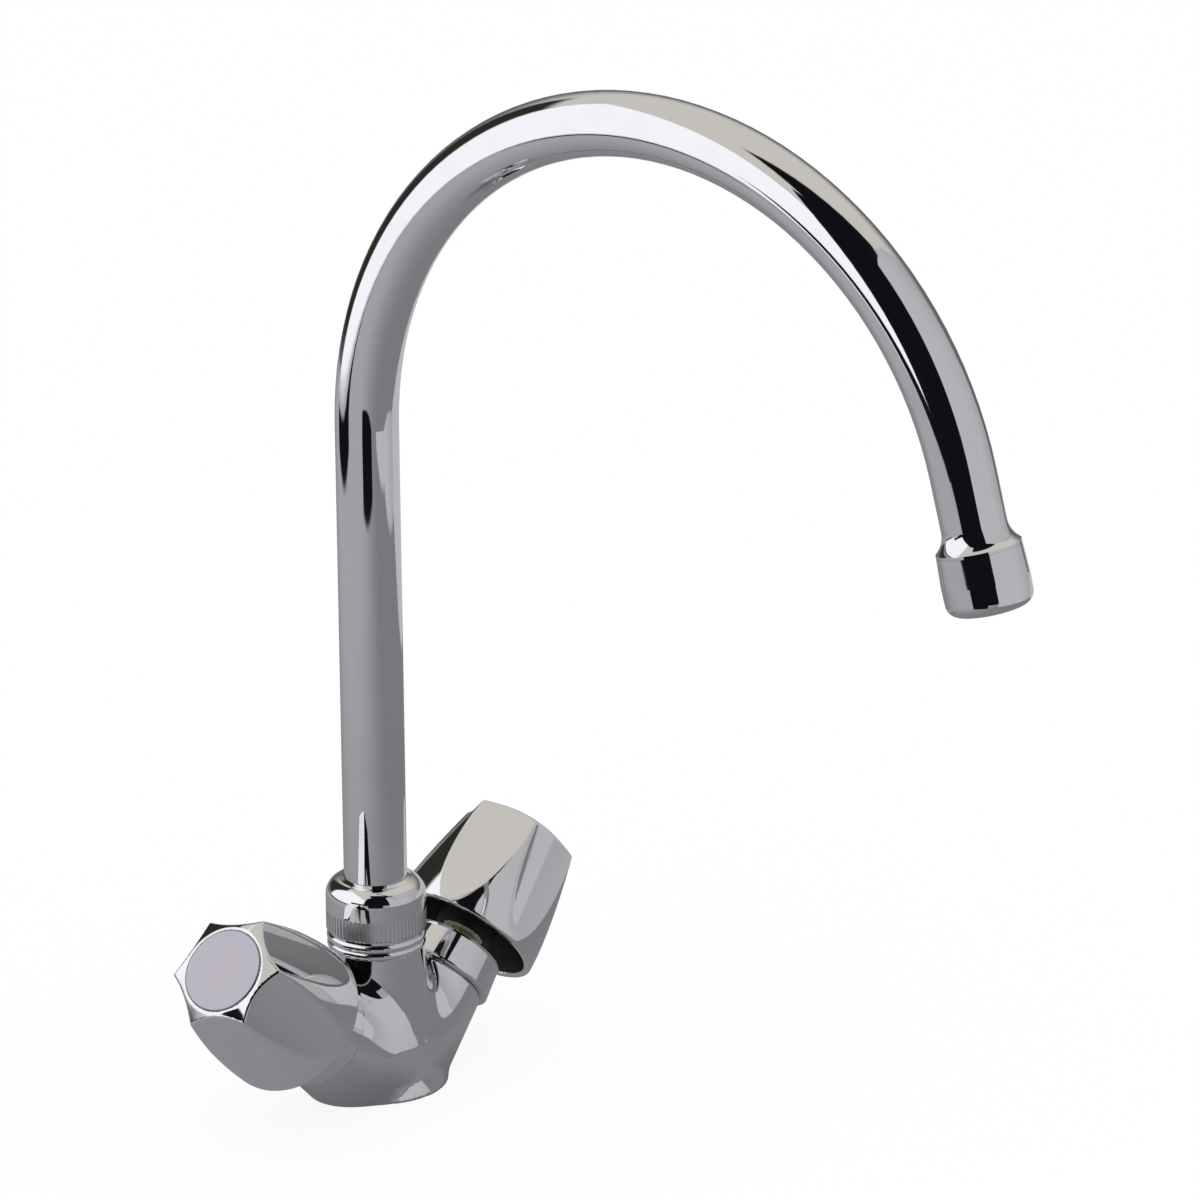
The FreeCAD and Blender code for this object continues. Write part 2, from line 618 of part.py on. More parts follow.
def shoulder_seal(name, side):
    """Flat seal between the arm's end and the valve's flange."""
    inner = add("size.headwork_thread_radius", "size.fit_room")
    outer = less("size.shoulder_seal_radius", "size.fit_room")
    ring = bored_ring(name + "_shoulder_seal", inner, outer, "size.arm_length", HEAD_FLANGE_FOOT)
    return kept(on_arm(ring, side))


def sleeve(name, side):
    """Chromed sleeve that hides the valve; its web screws on the nose."""
    outer_foot = less("size.sleeve_foot_radius", "size.sleeve_foot_round")
    web = less(SLEEVE_TOP, "size.sleeve_web")
    body = turned(name + "_sleeve", [
        (less(outer_foot, "size.sleeve_wall"), "size.arm_length"),
        (outer_foot, "size.arm_length", "size.sleeve_foot_round", 1),
        ("size.sleeve_foot_radius", add("size.arm_length", "size.sleeve_foot_round")),
        ("size.sleeve_top_radius", SLEEVE_TOP),
        (add("size.nose_radius", "size.fit_room"), SLEEVE_TOP),
        (add("size.nose_radius", "size.fit_room"), web),
        (less("size.sleeve_top_radius", "size.sleeve_wall"), web),
    ])
    return kept(on_arm(body, side))


# ---------------------------------------------------------------- handles

def spindle(name, side):
    """Splined spindle with its O-ring and clip grooves, thrust collar and dog."""
    body = turned(name + "_spindle", [
        ("0", THRUST_FOOT),
        ("size.thrust_radius", THRUST_FOOT),
        ("size.thrust_radius", THRUST_TOP),
        ("size.spindle_radius", THRUST_TOP),
        ("size.spindle_radius", SPINDLE_GROOVE_FOOT),
        (SPINDLE_GROOVE_RADIUS, SPINDLE_GROOVE_FOOT),
        (SPINDLE_GROOVE_RADIUS, SPINDLE_GROOVE_TOP),
        ("size.spindle_radius", SPINDLE_GROOVE_TOP),
        ("size.spindle_radius", CLIP_FOOT),
        ("size.clip_groove_radius", CLIP_FOOT),
        ("size.clip_groove_radius", CLIP_TOP),
        ("size.spline_radius", CLIP_TOP),
        ("size.spline_radius", SPINDLE_END),
        (SCREW_BORE, SPINDLE_END),
        (SCREW_BORE, less(SCREW_TIP, "size.end_room")),
        ("0", less(SCREW_TIP, "size.end_room")),
    ])
    sizes = {"Length": "size.dog_length", "Width": "size.dog_width", "Height": "size.dog_height"}
    dog = shaped(body, "AdditiveBox", "dog", sizes)
    placed(dog, x="-size.dog_length / 2", y="-size.dog_width / 2", z=DOG_FOOT)
    tooth = shaped(body, "SubtractiveBox", "spline", {
        "Length": "2 * size.spline_depth",
        "Width": "size.spline_depth",
        "Height": less(SPINDLE_END, CLIP_TOP),
    })
    placed(tooth, x=less("size.spline_radius", "size.spline_depth"), y="-size.spline_depth / 2", z=CLIP_TOP)
    patterned(body, tooth, "size.spline_teeth")
    return kept(on_arm(body, side))


def spindle_oring(name, side):
    """O-ring that keeps the water inside the valve."""
    sizes = {
        "Radius1": "(%s + %s) / 2" % (SPINDLE_BORE, SPINDLE_GROOVE_RADIUS),
        "Radius2": "(%s - %s) / 2 - size.oring_room" % (SPINDLE_BORE, SPINDLE_GROOVE_RADIUS),
    }
    ring = solid("Torus", name + "_spindle_oring", sizes)
    middle = "(%s + %s) / 2" % (SPINDLE_GROOVE_FOOT, SPINDLE_GROOVE_TOP)
    return kept(on_arm(ring, side, middle))


def spindle_clip(name, side):
    """Open clip in the spindle's groove, over the valve's nose."""
    inner = add("size.clip_groove_radius", "size.fit_room")
    body = bored_ring(name + "_spindle_clip", inner, "size.clip_radius", CLIP_FOOT, CLIP_TOP)
    sizes = {"Length": "size.clip_radius", "Width": "size.clip_mouth", "Height": "2 * size.clip_thickness"}
    mouth = shaped(body, "SubtractiveBox", "mouth", sizes)
    placed(mouth, x="0", y="-size.clip_mouth / 2", z=less(CLIP_FOOT, "size.clip_thickness / 2"))
    return kept(on_arm(body, side))


def knob_insert(name, side):
    """Plastic insert that carries the spindle's splines into the knob's hub."""
    bore = add("size.spline_radius", "size.fit_room")
    ring = bored_ring(name + "_knob_insert", bore, "size.insert_radius", HUB_FOOT, SPINDLE_END)
    return kept(on_arm(ring, side))


def knob(name, side):
    """Hollow knob: round rim, finger scoops, sloping crown, hub, screw tunnel and seat for the cap."""
    socket = add("size.insert_radius", "size.fit_room")
    cap_seat = add("size.cap_radius", "size.fit_room")
    body = turned(name + "_knob", [
        (socket, HUB_FOOT),
        ("size.hub_radius", HUB_FOOT),
        ("size.hub_radius", SKIRT_ROOF),
        ("size.knob_skirt_top_radius", SKIRT_ROOF),
        (less("size.knob_rim_radius", "size.knob_skirt_wall"), KNOB_RIM),
        ("size.knob_rim_radius", KNOB_RIM),
        ("size.knob_rim_radius", add(KNOB_RIM, "size.knob_rim_band"), "size.knob_flank_curve", 1),
        ("size.knob_corner_radius", KNOB_CORNER),
        (add(cap_seat, "size.knob_face_lip"), KNOB_FACE),
        (cap_seat, KNOB_FACE),
        (cap_seat, CAP_SEAT),
        ("size.screw_tunnel_radius", CAP_SEAT),
        ("size.screw_tunnel_radius", SCREW_SEAT),
        (add(SCREW_BORE, "size.running_room"), SCREW_SEAT),
        (add(SCREW_BORE, "size.running_room"), HUB_SOCKET_TOP),
        (socket, HUB_SOCKET_TOP),
    ])
    turn = "size.%s_knob_turn" % name
    across = add(
        "size.scoop_floor",
        "size.scoop_radius / cos(size.scoop_tilt)",
        "size.knob_length * tan(size.scoop_tilt)",
    )
    length = "2 * size.knob_length"
    scoop = shaped(body, "SubtractiveCylinder", "scoop", {"Radius": "size.scoop_radius", "Height": length})
    placed(
        scoop,
        x="%s * cos(%s)" % (across, turn),
        y="%s * sin(%s)" % (across, turn),
        z=KNOB_RIM,
        turn=turn,
        lean="-size.scoop_tilt",
    )
    patterned(body, scoop, "size.scoop_count")
    return kept(on_arm(body, side))


def knob_screw(name, side):
    """Screw that clamps the knob's web to the end of the spindle."""
    head = add(SCREW_SEAT, "size.screw_head_height")
    body = turned(name + "_knob_screw", [
        ("0", SCREW_TIP),
        ("size.screw_radius", SCREW_TIP),
        ("size.screw_radius", SCREW_SEAT),
        ("size.screw_head_radius", SCREW_SEAT),
        ("size.screw_head_radius", head),
        ("0", head),
    ])
    sizes = {"Circumradius": "size.screw_key_radius", "Height": "size.screw_key_depth"}
    placed(shaped(body, "SubtractivePrism", "key", sizes), z=less(head, "size.screw_key_depth"))
    return kept(on_arm(body, side))


def index_cap(name, side):
    """Brushed disc in the knob's face, on a plug that fills the mouth of the screw tunnel."""
    plug = less("size.screw_tunnel_radius", "size.fit_room")
    body = turned(name + "_index_cap", [
        ("0", less(CAP_FOOT, "size.cap_plug_length")),
        (plug, less(CAP_FOOT, "size.cap_plug_length")),
        (plug, CAP_FOOT),
        ("size.cap_radius", CAP_FOOT),
        ("size.cap_radius", less(CAP_TOP, "size.cap_edge")),
        (less("size.cap_radius", "size.cap_edge"), CAP_TOP),
        ("0", CAP_TOP),
    ])
    return kept(on_arm(body, side))


# ---------------------------------------------------------------- spout

def annulus(sketch, radii):
    """Two circles about a sketch's origin."""
    for expression in radii:
        circle = Part.Circle(FreeCAD.Vector(0, 0, 0), FreeCAD.Vector(0, 0, 1), value(expression))
        geometry = sketch.addGeometry(circle)
        sketch.addConstraint(Sketcher.Constraint("Coincident", geometry, 3, -1, 1))
        number = sketch.addConstraint(Sketcher.Constraint("Radius", geometry, value(expression)))
        sketch.setExpression("Constraints[%d]" % number, expression)


def spout_route(sketch):
    """Centre line of the tube: upright, over the arch, and a short straight end."""
    radius = value("size.arch_radius")
    turn = math.radians(value("size.arch_turn"))
    foot = FreeCAD.Vector(0, value(TUBE_FOOT), 0)
    start = FreeCAD.Vector(0, value("size.arch_height"), 0)
    centre = FreeCAD.Vector(-radius, start.y, 0)
    end = centre + FreeCAD.Vector(math.cos(turn), math.sin(turn), 0) * radius
    tip = end + FreeCAD.Vector(-math.sin(turn), math.cos(turn), 0) * value("size.tube_end")
    rise = sketch.addGeometry(Part.LineSegment(foot, start))
    circle = Part.Circle(centre, FreeCAD.Vector(0, 0, 1), radius)
    arch = sketch.addGeometry(Part.ArcOfCircle(circle, 0, turn))
    straight = sketch.addGeometry(Part.LineSegment(end, tip))
    sketch.addConstraint(Sketcher.Constraint("Coincident", rise, 2, arch, 1))
    sketch.addConstraint(Sketcher.Constraint("Coincident", arch, 2, straight, 1))
    hold(sketch, "DistanceX", rise, 1, "0")
    hold(sketch, "DistanceY", rise, 1, TUBE_FOOT)
    hold(sketch, "DistanceX", rise, 2, "0")
    hold(sketch, "DistanceY", rise, 2, "size.arch_height")
    hold(sketch, "DistanceX", arch, 3, "-size.arch_radius")
    hold(sketch, "DistanceY", arch, 3, "size.arch_height")
    end_across = "-size.arch_radius * (1 - cos(size.arch_turn))"
    end_up = "size.arch_height + size.arch_radius * sin(size.arch_turn)"
    hold(sketch, "DistanceX", arch, 2, end_across)
    hold(sketch, "DistanceX", straight, 2, end_across + " - size.tube_end * sin(size.arch_turn)")
    hold(sketch, "DistanceY", straight, 2, end_up + " + size.tube_end * cos(size.arch_turn)")


def spout_tube():
    """The bent tube."""
    body = start_body("spout_tube")
    section = start_sketch(body, "section", "XY_Plane")
    section.setExpression("AttachmentOffset.Base.z", TUBE_FOOT)
    annulus(section, ("size.tube_radius", TUBE_BORE))
    route = start_sketch(body, "route", "YZ_Plane")
    spout_route(route)
    pipe = body.newObject("PartDesign::AdditivePipe", "spout_bend")
    pipe.Profile = section
    pipe.Spine = (route, ["Edge1", "Edge2", "Edge3"])
    pipe.Mode = "Standard"
    return kept(body)


def spout_tail():
    """Brass tail in the foot of the tube: spigot, flange, and two grooves for O-rings."""
    spigot = less(TUBE_BORE, "size.fit_room")
    spigot_top = add(TUBE_FOOT, "size.spigot_length")
    return kept(turned("spout_tail", [
        ("size.tail_bore_radius", TAIL_FOOT),
        (TAIL_RADIUS, TAIL_FOOT),
        (TAIL_RADIUS, LOW_GROOVE_FOOT),
        (TAIL_GROOVE_RADIUS, LOW_GROOVE_FOOT),
        (TAIL_GROOVE_RADIUS, LOW_GROOVE_TOP),
        (TAIL_RADIUS, LOW_GROOVE_TOP),
        (TAIL_RADIUS, HIGH_GROOVE_FOOT),
        (TAIL_GROOVE_RADIUS, HIGH_GROOVE_FOOT),
        (TAIL_GROOVE_RADIUS, HIGH_GROOVE_TOP),
        (TAIL_RADIUS, HIGH_GROOVE_TOP),
        (TAIL_RADIUS, FLANGE_FOOT),
        ("size.spout_flange_radius", FLANGE_FOOT),
        ("size.spout_flange_radius", TUBE_FOOT),
        (spigot, TUBE_FOOT),
        (spigot, spigot_top),
        ("size.tail_bore_radius", spigot_top),
    ]))


def tail_oring(label, foot):
    """One of the two O-rings that seal the spout in the neck."""
    ring = solid("Torus", label, {
        "Radius1": "(size.neck_bore_radius + %s) / 2" % TAIL_GROOVE_RADIUS,
        "Radius2": "(size.neck_bore_radius - %s) / 2 - size.oring_room" % TAIL_GROOVE_RADIUS,
    })
    return kept(placed(ring, z=foot + " + size.oring_groove_width / 2"))


def swivel_washer():
    """Slippery washer on the neck's top, under the spout's flange."""
    inner = add("size.neck_bore_radius", "size.fit_room")
    top = add(NECK_TOP, "size.washer_height")
    return kept(bored_ring("swivel_washer", inner, "size.washer_radius", NECK_TOP, top))


def spout_retaining_ring():
    """Split ring over the flange, round the tube."""
    inner = add("size.tube_radius", "size.end_room", "size.fit_room")
    ring = bored_ring("spout_retaining_ring", inner, "size.washer_radius", RETAINER_FOOT, RETAINER_TOP)
    split = shaped(ring, "SubtractiveBox", "split", {
        "Length": "2 * size.washer_radius",
        "Width": "size.retainer_split",
        "Height": "2 * size.retainer_height",
    })
    placed(split, y="-size.retainer_split / 2", z=less(RETAINER_FOOT, "size.retainer_height / 2"))
    return kept(ring)


def spout_nut():
    """Chromed nut: bead, knurled band, plain band and round shoulder; it traps the spout."""
    bead = add("size.nut_groove_radius", "size.nut_bead_foot")
    thread = add("size.neck_radius", "size.fit_room")
    shoulder = less("size.nut_radius", "size.nut_shoulder_width")
    shoulder_top = add(NUT_SHOULDER_FOOT, "size.nut_shoulder_height")
    hole = add("size.tube_radius", "size.end_room")
    cavity = add("size.washer_radius", "size.fit_room")
    body = turned("spout_nut", [
        (thread, NUT_FOOT),
        (bead, NUT_FOOT, "size.bead_curve", 1),
        (bead, NUT_BEAD_TOP),
        ("size.nut_groove_radius", NUT_BEAD_TOP),
        ("size.nut_groove_radius", NUT_GROOVE_TOP),
        ("size.nut_radius", KNURL_FOOT),
        ("size.nut_radius", NUT_SHOULDER_FOOT, "size.nut_shoulder", 1),
        (shoulder, shoulder_top),
        (hole, add(shoulder_top, "size.nut_lip")),
        (hole, NUT_CEILING),
        (cavity, NUT_CEILING),
        (cavity, NECK_TOP),
        (thread, NECK_TOP),
    ])
    sizes = {
        "Length": "2 * size.knurl_depth",
        "Width": "2 * size.knurl_half_width",
        "Height": "size.knurl_height",
    }
    groove = shaped(body, "SubtractiveBox", "knurl", sizes)
    placed(groove, x=less("size.nut_radius", "size.knurl_depth"), y="-size.knurl_half_width", z=KNURL_FOOT)
    patterned(body, groove, "size.knurl_teeth")
    return kept(body)


# ---------------------------------------------------------------- outlet

def outlet_collar():
    """Flared end of the spout, brazed in the tube, with the thread for the aerator."""
    spigot = less(TUBE_BORE, "size.fit_room")
    spigot_top = less(FLARE_TOP, "size.outlet_spigot")
    body = turned("outlet_collar", [
        ("size.outlet_bore_radius", spigot_top),
        (spigot, spigot_top),
        (spigot, FLARE_TOP),
        ("size.tube_radius", FLARE_TOP, "size.flare_curve", -1),
        ("size.rim_radius", RIM_TOP),
        ("size.rim_radius", RIM_FOOT),
        ("size.outlet_thread_radius", RIM_FOOT),
        ("size.outlet_thread_radius", OUTLET_FOOT),
        ("size.outlet_bore_radius", OUTLET_FOOT),
    ])
    return kept(on_spout_end(body))


def aerator_housing():
    """Chromed cup that screws on the outlet and holds the aerator."""
    thread = add("size.outlet_thread_radius", "size.fit_room")
    waist = add(RIM_TOP, "size.aerator_waist")
    corner = less(HOUSING_FOOT, "size.aerator_corner")
    thread_foot = add(OUTLET_FOOT, "size.aerator_washer_height")
    body = turned("aerator_housing", [
        (thread, HOUSING_TOP),
        ("size.rim_radius", HOUSING_TOP),
        ("size.aerator_waist_radius", waist),
        ("size.aerator_foot_radius", corner, "size.aerator_corner", 1),
        (less("size.aerator_foot_radius", "size.aerator_corner"), HOUSING_FOOT),
        ("size.aerator_mouth_radius", less(HOUSING_FOOT, "size.fit_room")),
        ("size.aerator_mouth_radius", LIP_TOP),
        ("size.aerator_seat_radius", LIP_TOP),
        ("size.aerator_seat_radius", thread_foot),
        (thread, thread_foot),
    ])
    return kept(on_spout_end(body))


def aerator_washer():
    """Rubber washer between the outlet and the aerator."""
    outer = less("size.aerator_seat_radius", "size.fit_room")
    ring = bored_ring("aerator_washer", "size.aerator_washer_bore", outer, WASHER_TOP, WASHER_FOOT)
    return kept(on_spout_end(ring))


def perforated_disc(label, top, foot, hole_radius, rings):
    """A disc with rings of holes, six more in each ring outwards."""
    radius = less("size.aerator_seat_radius", "size.fit_room")
    body = turned(label, [("0", top), (radius, top), (radius, foot), ("0", foot)])
    sizes = {"Radius": hole_radius, "Height": "2 * size.aerator_length"}
    placed(shaped(body, "SubtractiveCylinder", "middle_hole", sizes), z=RIM_TOP)
    for ring in range(1, rings + 1):
        hole = shaped(body, "SubtractiveCylinder", "hole%d" % ring, sizes)
        placed(hole, x="%d * size.hole_ring_pitch" % ring, z=RIM_TOP)
        patterned(body, hole, "%d" % (6 * ring))
    return kept(on_spout_end(body))


# ---------------------------------------------------------------- assembly

def build_side(name, side):
    """All the pieces of one valve and one handle."""
    seat_seal(name, side)
    fixed_disc(name, side)
    headwork_body(name, side)
    shoulder_seal(name, side)
    sleeve(name, side)
    moving_disc(name, side)
    spindle(name, side)
    spindle_oring(name, side)
    spindle_clip(name, side)
    knob_insert(name, side)
    knob(name, side)
    knob_screw(name, side)
    index_cap(name, side)


def build_tap():
    """The whole tap."""
    mixer_body()
    base_seal()
    build_side("hot", -1)
    build_side("cold", 1)
    swivel_washer()
    spout_nut()
    spout_retaining_ring()
    spout_tail()
    tail_oring("lower_spout_oring", LOW_GROOVE_FOOT)
    tail_oring("upper_spout_oring", HIGH_GROOVE_FOOT)
    spout_tube()
    outlet_collar()
    aerator_housing()
    aerator_washer()
    perforated_disc("aerator_screen", SCREEN_TOP, SCREEN_FOOT, "size.screen_hole_radius", 4)
    perforated_disc("aerator_insert", INSERT_TOP, INSERT_FOOT, "size.jet_hole_radius", 3)


def check_tap():
    """Stop if any feature failed, or if any piece has no sound solid."""
    for feature in doc.Objects:
        if "Invalid" in feature.State or "Error" in feature.State:
            raise RuntimeError("%s failed: %s" % (feature.Label, feature.State))
    for piece in parts:
        shape = piece.Shape
        if shape.isNull() or not shape.isValid() or not shape.Solids:
            raise RuntimeError("%s has no valid solid" % piece.Label)


def write_tap():
    """One file for each piece."""
    os.makedirs("parts", exist_ok=True)
    for piece in parts:
        piece.Shape.exportStep("parts/%s.step" % piece.Label)
        print("%-24s solids %d  volume %.1f" % (piece.Label, len(piece.Shape.Solids), piece.Shape.Volume))


build_tap()
doc.recompute()
check_tap()
write_tap()
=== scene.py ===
# %% [markdown]
# # A chromed kitchen tap, dressed for its portrait
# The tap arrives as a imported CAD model: every piece has its true size and place, in metres, with
# the spout reaching along -Y, the hot handle at -X and the cold one at +X.  This lesson gives
# each piece its finish, makes softer, smoother copies of the pieces that were cast and polished,
# and sets up a small photographer's tent round the tap, because chrome has no look of its own: it
# shows the room.

# %% Load the frame
import math

import bpy
import numpy as np
from mathutils import Matrix, Vector


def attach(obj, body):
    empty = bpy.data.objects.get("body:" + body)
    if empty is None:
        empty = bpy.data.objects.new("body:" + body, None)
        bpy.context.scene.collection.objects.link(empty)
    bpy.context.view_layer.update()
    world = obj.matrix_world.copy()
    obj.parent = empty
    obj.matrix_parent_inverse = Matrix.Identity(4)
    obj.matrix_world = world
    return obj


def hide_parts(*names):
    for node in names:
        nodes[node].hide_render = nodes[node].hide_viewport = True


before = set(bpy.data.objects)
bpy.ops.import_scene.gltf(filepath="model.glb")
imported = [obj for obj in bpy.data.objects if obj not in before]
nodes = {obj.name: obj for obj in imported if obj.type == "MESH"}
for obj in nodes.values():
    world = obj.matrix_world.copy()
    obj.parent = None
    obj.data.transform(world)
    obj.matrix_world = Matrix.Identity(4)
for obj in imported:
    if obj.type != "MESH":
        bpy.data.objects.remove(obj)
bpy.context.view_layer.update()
MM = 0.001
print("CAD pieces:", len(nodes))

# %% [markdown]
# ## The camera
# The photograph was taken from the front left, a little above the tap and from far away with a
# long lens, which keeps the upright tube parallel.  The aim point, distance and lens were fitted
# to places that can be found on both the photograph and the model.  A camera looks down its own
# -Z axis, so the three axes of its matrix are its right, its up, and the way back to the viewer.

# %% Put the camera where the photographer stood
AIM = Vector((39.92, -50.80, 145.37)) * MM
VIEW_DISTANCE = 2.4357
VIEW_AZIMUTH = math.radians(-51.837)
VIEW_HEIGHT = math.radians(19.992)
VIEW_ROLL = math.radians(-0.530)
LENS, SENSOR = 259.85, 36.0  # millimetres
SIGHT = 20.0  # how far the camera sees, in metres

back = Vector((
    math.sin(VIEW_AZIMUTH) * math.cos(VIEW_HEIGHT),
    -math.cos(VIEW_AZIMUTH) * math.cos(VIEW_HEIGHT),
    math.sin(VIEW_HEIGHT),
))
level = Vector((math.cos(VIEW_AZIMUTH), math.sin(VIEW_AZIMUTH), 0))
upright = back.cross(level)
right = level * math.cos(VIEW_ROLL) + upright * math.sin(VIEW_ROLL)
up = upright * math.cos(VIEW_ROLL) - level * math.sin(VIEW_ROLL)
camera_axes = Matrix((right, up, back)).transposed().to_4x4()

bpy.ops.object.select_all(action="DESELECT")
bpy.ops.object.camera_add()
camera = bpy.context.object
camera.name = "photographer"
camera.matrix_world = Matrix.Translation(AIM + back * VIEW_DISTANCE) @ camera_axes
camera.data.sensor_width = SENSOR
camera.data.lens = LENS
camera.data.clip_end = SIGHT
bpy.context.scene.camera = camera
print("camera at", [round(x, 3) for x in camera.location], "metres")

# %% [markdown]
# ## Reckoning with sockets
# A material is a tree of nodes, and its sums are easier to read as sums.  `Value` wraps one
# output socket.  Adding, taking away or multiplying it makes the Math node that does so, and
# `node` makes any other node: its type, then its settings, then its sockets.

# %% A number that changes over a surface
class Value:
    """One output socket, which can be reckoned with like a number."""

    def __init__(self, tree, socket):
        self.tree = tree
        self.socket = socket

    def node(self, kind, settings=None, sockets=None, output=0):
        """Any node: its settings first, then values or links for its sockets."""
        made = self.tree.nodes.new(kind)
        for name, setting in (settings or {}).items():
            setattr(made, name, setting)
        for name, given in (sockets or {}).items():
            if isinstance(given, Value):
                self.tree.links.new(given.socket, made.inputs[name])
            else:
                made.inputs[name].default_value = given
        return Value(self.tree, made.outputs[output])

    def math(self, operation, *given):
        """A Math node on the given numbers or values, in their order."""
        return self.node("ShaderNodeMath", {"operation": operation}, dict(enumerate(given)))

    def __add__(self, other):
        return self.math("ADD", self, other)

    def __radd__(self, other):
        return self.math("ADD", other, self)

    def __sub__(self, other):
        return self.math("SUBTRACT", self, other)

    def __rsub__(self, other):
        return self.math("SUBTRACT", other, self)

    def __mul__(self, other):
        return self.math("MULTIPLY", self, other)

    def __rmul__(self, other):
        return self.math("MULTIPLY", other, self)

    def root(self):
        """The square root."""
        return self.math("SQRT", self)

    def unsigned(self):
        """The number without its sign."""
        return self.math("ABSOLUTE", self)

    def least(self, other):
        """The smaller of two numbers."""
        return self.math("MINIMUM", self, other)

    def along(self, direction):
        """How far a point lies along a direction."""
        settings = {"operation": "DOT_PRODUCT"}
        return self.node("ShaderNodeVectorMath", settings, {0: self, 1: direction}, "Value")

    def between(self, low, high, start=0.0, end=1.0):
        """From start below low to end above high, by a smooth step; 0 and 1 if not given."""
        settings = {"interpolation_type": "SMOOTHSTEP"}
        reach = {"From Min": low, "From Max": high, "To Min": start, "To Max": end}
        return self.node("ShaderNodeMapRange", settings, {"Value": self, **reach})

    def inside(self, low, high, soft):
        """1 from low to high and 0 outside, with each end softened by soft to either side."""
        return self.between(low - soft, low + soft) * (1 - self.between(high - soft, high + soft))

    def noise(self, scale, detail=2.0):
        """Cloudy noise, about 0.5 on average, of a given fineness."""
        sockets = {"Vector": self, "Scale": scale, "Detail": detail}
        return self.node("ShaderNodeTexNoise", {}, sockets)


def mixed(share, first, second):
    """A colour between two colours; a Mix node takes them at sockets 6 and 7 and gives it at 2."""
    sockets = {0: share, 6: first, 7: second}
    return share.node("ShaderNodeMix", {"data_type": "RGBA"}, sockets, 2)


# %% [markdown]
# ## Starting a finish
# Every finish is one Principled shader.  What is the same all over is set on the shader's own
# sockets; what changes over the surface is worked out from Object coordinates, which are metres
# on the real tap, so a scale of 1000 makes a pattern about a millimetre wide.

# %% A new finish
def start_finish(name, **constants):
    """A new material; gives back the material, its shader and the place on the surface."""
    material = bpy.data.materials.new(name)
    material.use_nodes = True
    shader = material.node_tree.nodes["Principled BSDF"]
    for socket, number in constants.items():
        shader.inputs[socket.replace("_", " ")].default_value = number
    place = material.node_tree.nodes.new("ShaderNodeTexCoord")
    return material, shader, Value(material.node_tree, place.outputs["Object"])


def feed(shader, socket, value):
    """Link a worked-out value to one of the shader's sockets."""
    value.tree.links.new(value.socket, shader.inputs[socket])


def feed_bump(shader, height, depth):
    """Raise the surface a little by a height; depth is in metres."""
    sockets = {"Height": height, "Distance": depth, "Strength": 1.0}
    feed(shader, "Normal", height.node("ShaderNodeBump", {}, sockets))


# %% [markdown]
# ## Chrome
# Bright chrome is a very thin bluish plate over polished brass.  It is nearly a mirror, so its
# looks are almost all reflections; what tells it from a perfect mirror is a slight haze where it
# was wiped, and polishing waves too faint to see but for the way that edges in it wander.  The
# nut's knurled band is duller: its fine teeth turn every way and scatter what they mirror, so its
# roughness rises over the height of the band.

# %% Mirror chrome, for the body, the spout, the nut and the knobs
PLATE, WIPED_PLATE = (0.83, 0.835, 0.85, 1), (0.80, 0.805, 0.825, 1)
HAZE, KNOB_HAZE, WIPED_HAZE, KNURL_HAZE = 0.025, 0.045, 0.035, 0.33
POLISH_WAVE = 0.02 * MM
KNURL_FOOT, KNURL_TOP, KNURL_SOFT = 47.6 * MM, 53.5 * MM, 0.2 * MM


def start_chrome(name):
    """A plate with its colour and its polishing waves, and where it was wiped."""
    material, shader, place = start_finish(name, Metallic=1.0)
    wiped = place.noise(60.0, 3.0).between(0.45, 0.75)
    feed(shader, "Base Color", mixed(wiped, PLATE, WIPED_PLATE))
    feed_bump(shader, place.noise(45.0, 1.0), POLISH_WAVE)
    return material, shader, place, wiped


def chrome(name, haze):
    """Mirror chrome, a little hazier where it was wiped."""
    material, shader, _, wiped = start_chrome(name)
    feed(shader, "Roughness", haze + wiped * WIPED_HAZE)
    return material


def knurled_chrome(name, haze):
    """Chrome that is dull over the knurled band."""
    material, shader, place, _ = start_chrome(name)
    knurl = place.along((0, 0, 1)).inside(KNURL_FOOT, KNURL_TOP, KNURL_SOFT)
    feed(shader, "Roughness", haze + knurl * KNURL_HAZE)
    return material


bright_chrome = chrome("bright_chrome", HAZE)
nut_chrome = knurled_chrome("nut_chrome", HAZE)
knob_chrome = chrome("knob_chrome", KNOB_HAZE)
print("finishes:", bright_chrome.name, nut_chrome.name, knob_chrome.name)

# %% [markdown]
# ## The brushed index face
# The disc in each knob is brushed one way, so that it glows softly instead of mirroring.  Long
# thin streaks come from noise that is stretched along the brushing; they dull the surface and
# roughen it.  A faint coloured ring says which tap is hot.

# %% Brushed discs
ARM_ANGLE = math.radians(39.6)
HOT, COLD = -1, 1
BRUSHED_DARK, BRUSHED_LIGHT = (0.42, 0.41, 0.445, 1), (0.56, 0.55, 0.59, 1)
FAINT_RED, FAINT_BLUE = (0.75, 0.42, 0.42, 1), (0.42, 0.50, 0.75, 1)
RING_INSIDE, RING_OUTSIDE, RING_SOFT = 4.1 * MM, 5.1 * MM, 0.2 * MM
RING_STRENGTH = 0.2
STREAKS_ALONG, STREAKS_ACROSS = 150.0, 4500.0


def arm_axes(side):
    """The directions along an arm, up across it, and across it towards the back of the tap."""
    axis = Vector((side * math.cos(ARM_ANGLE), 0, math.sin(ARM_ANGLE)))
    across = Vector((math.sin(ARM_ANGLE), 0, -side * math.cos(ARM_ANGLE)))
    return axis, across, Vector((0, 1, 0))


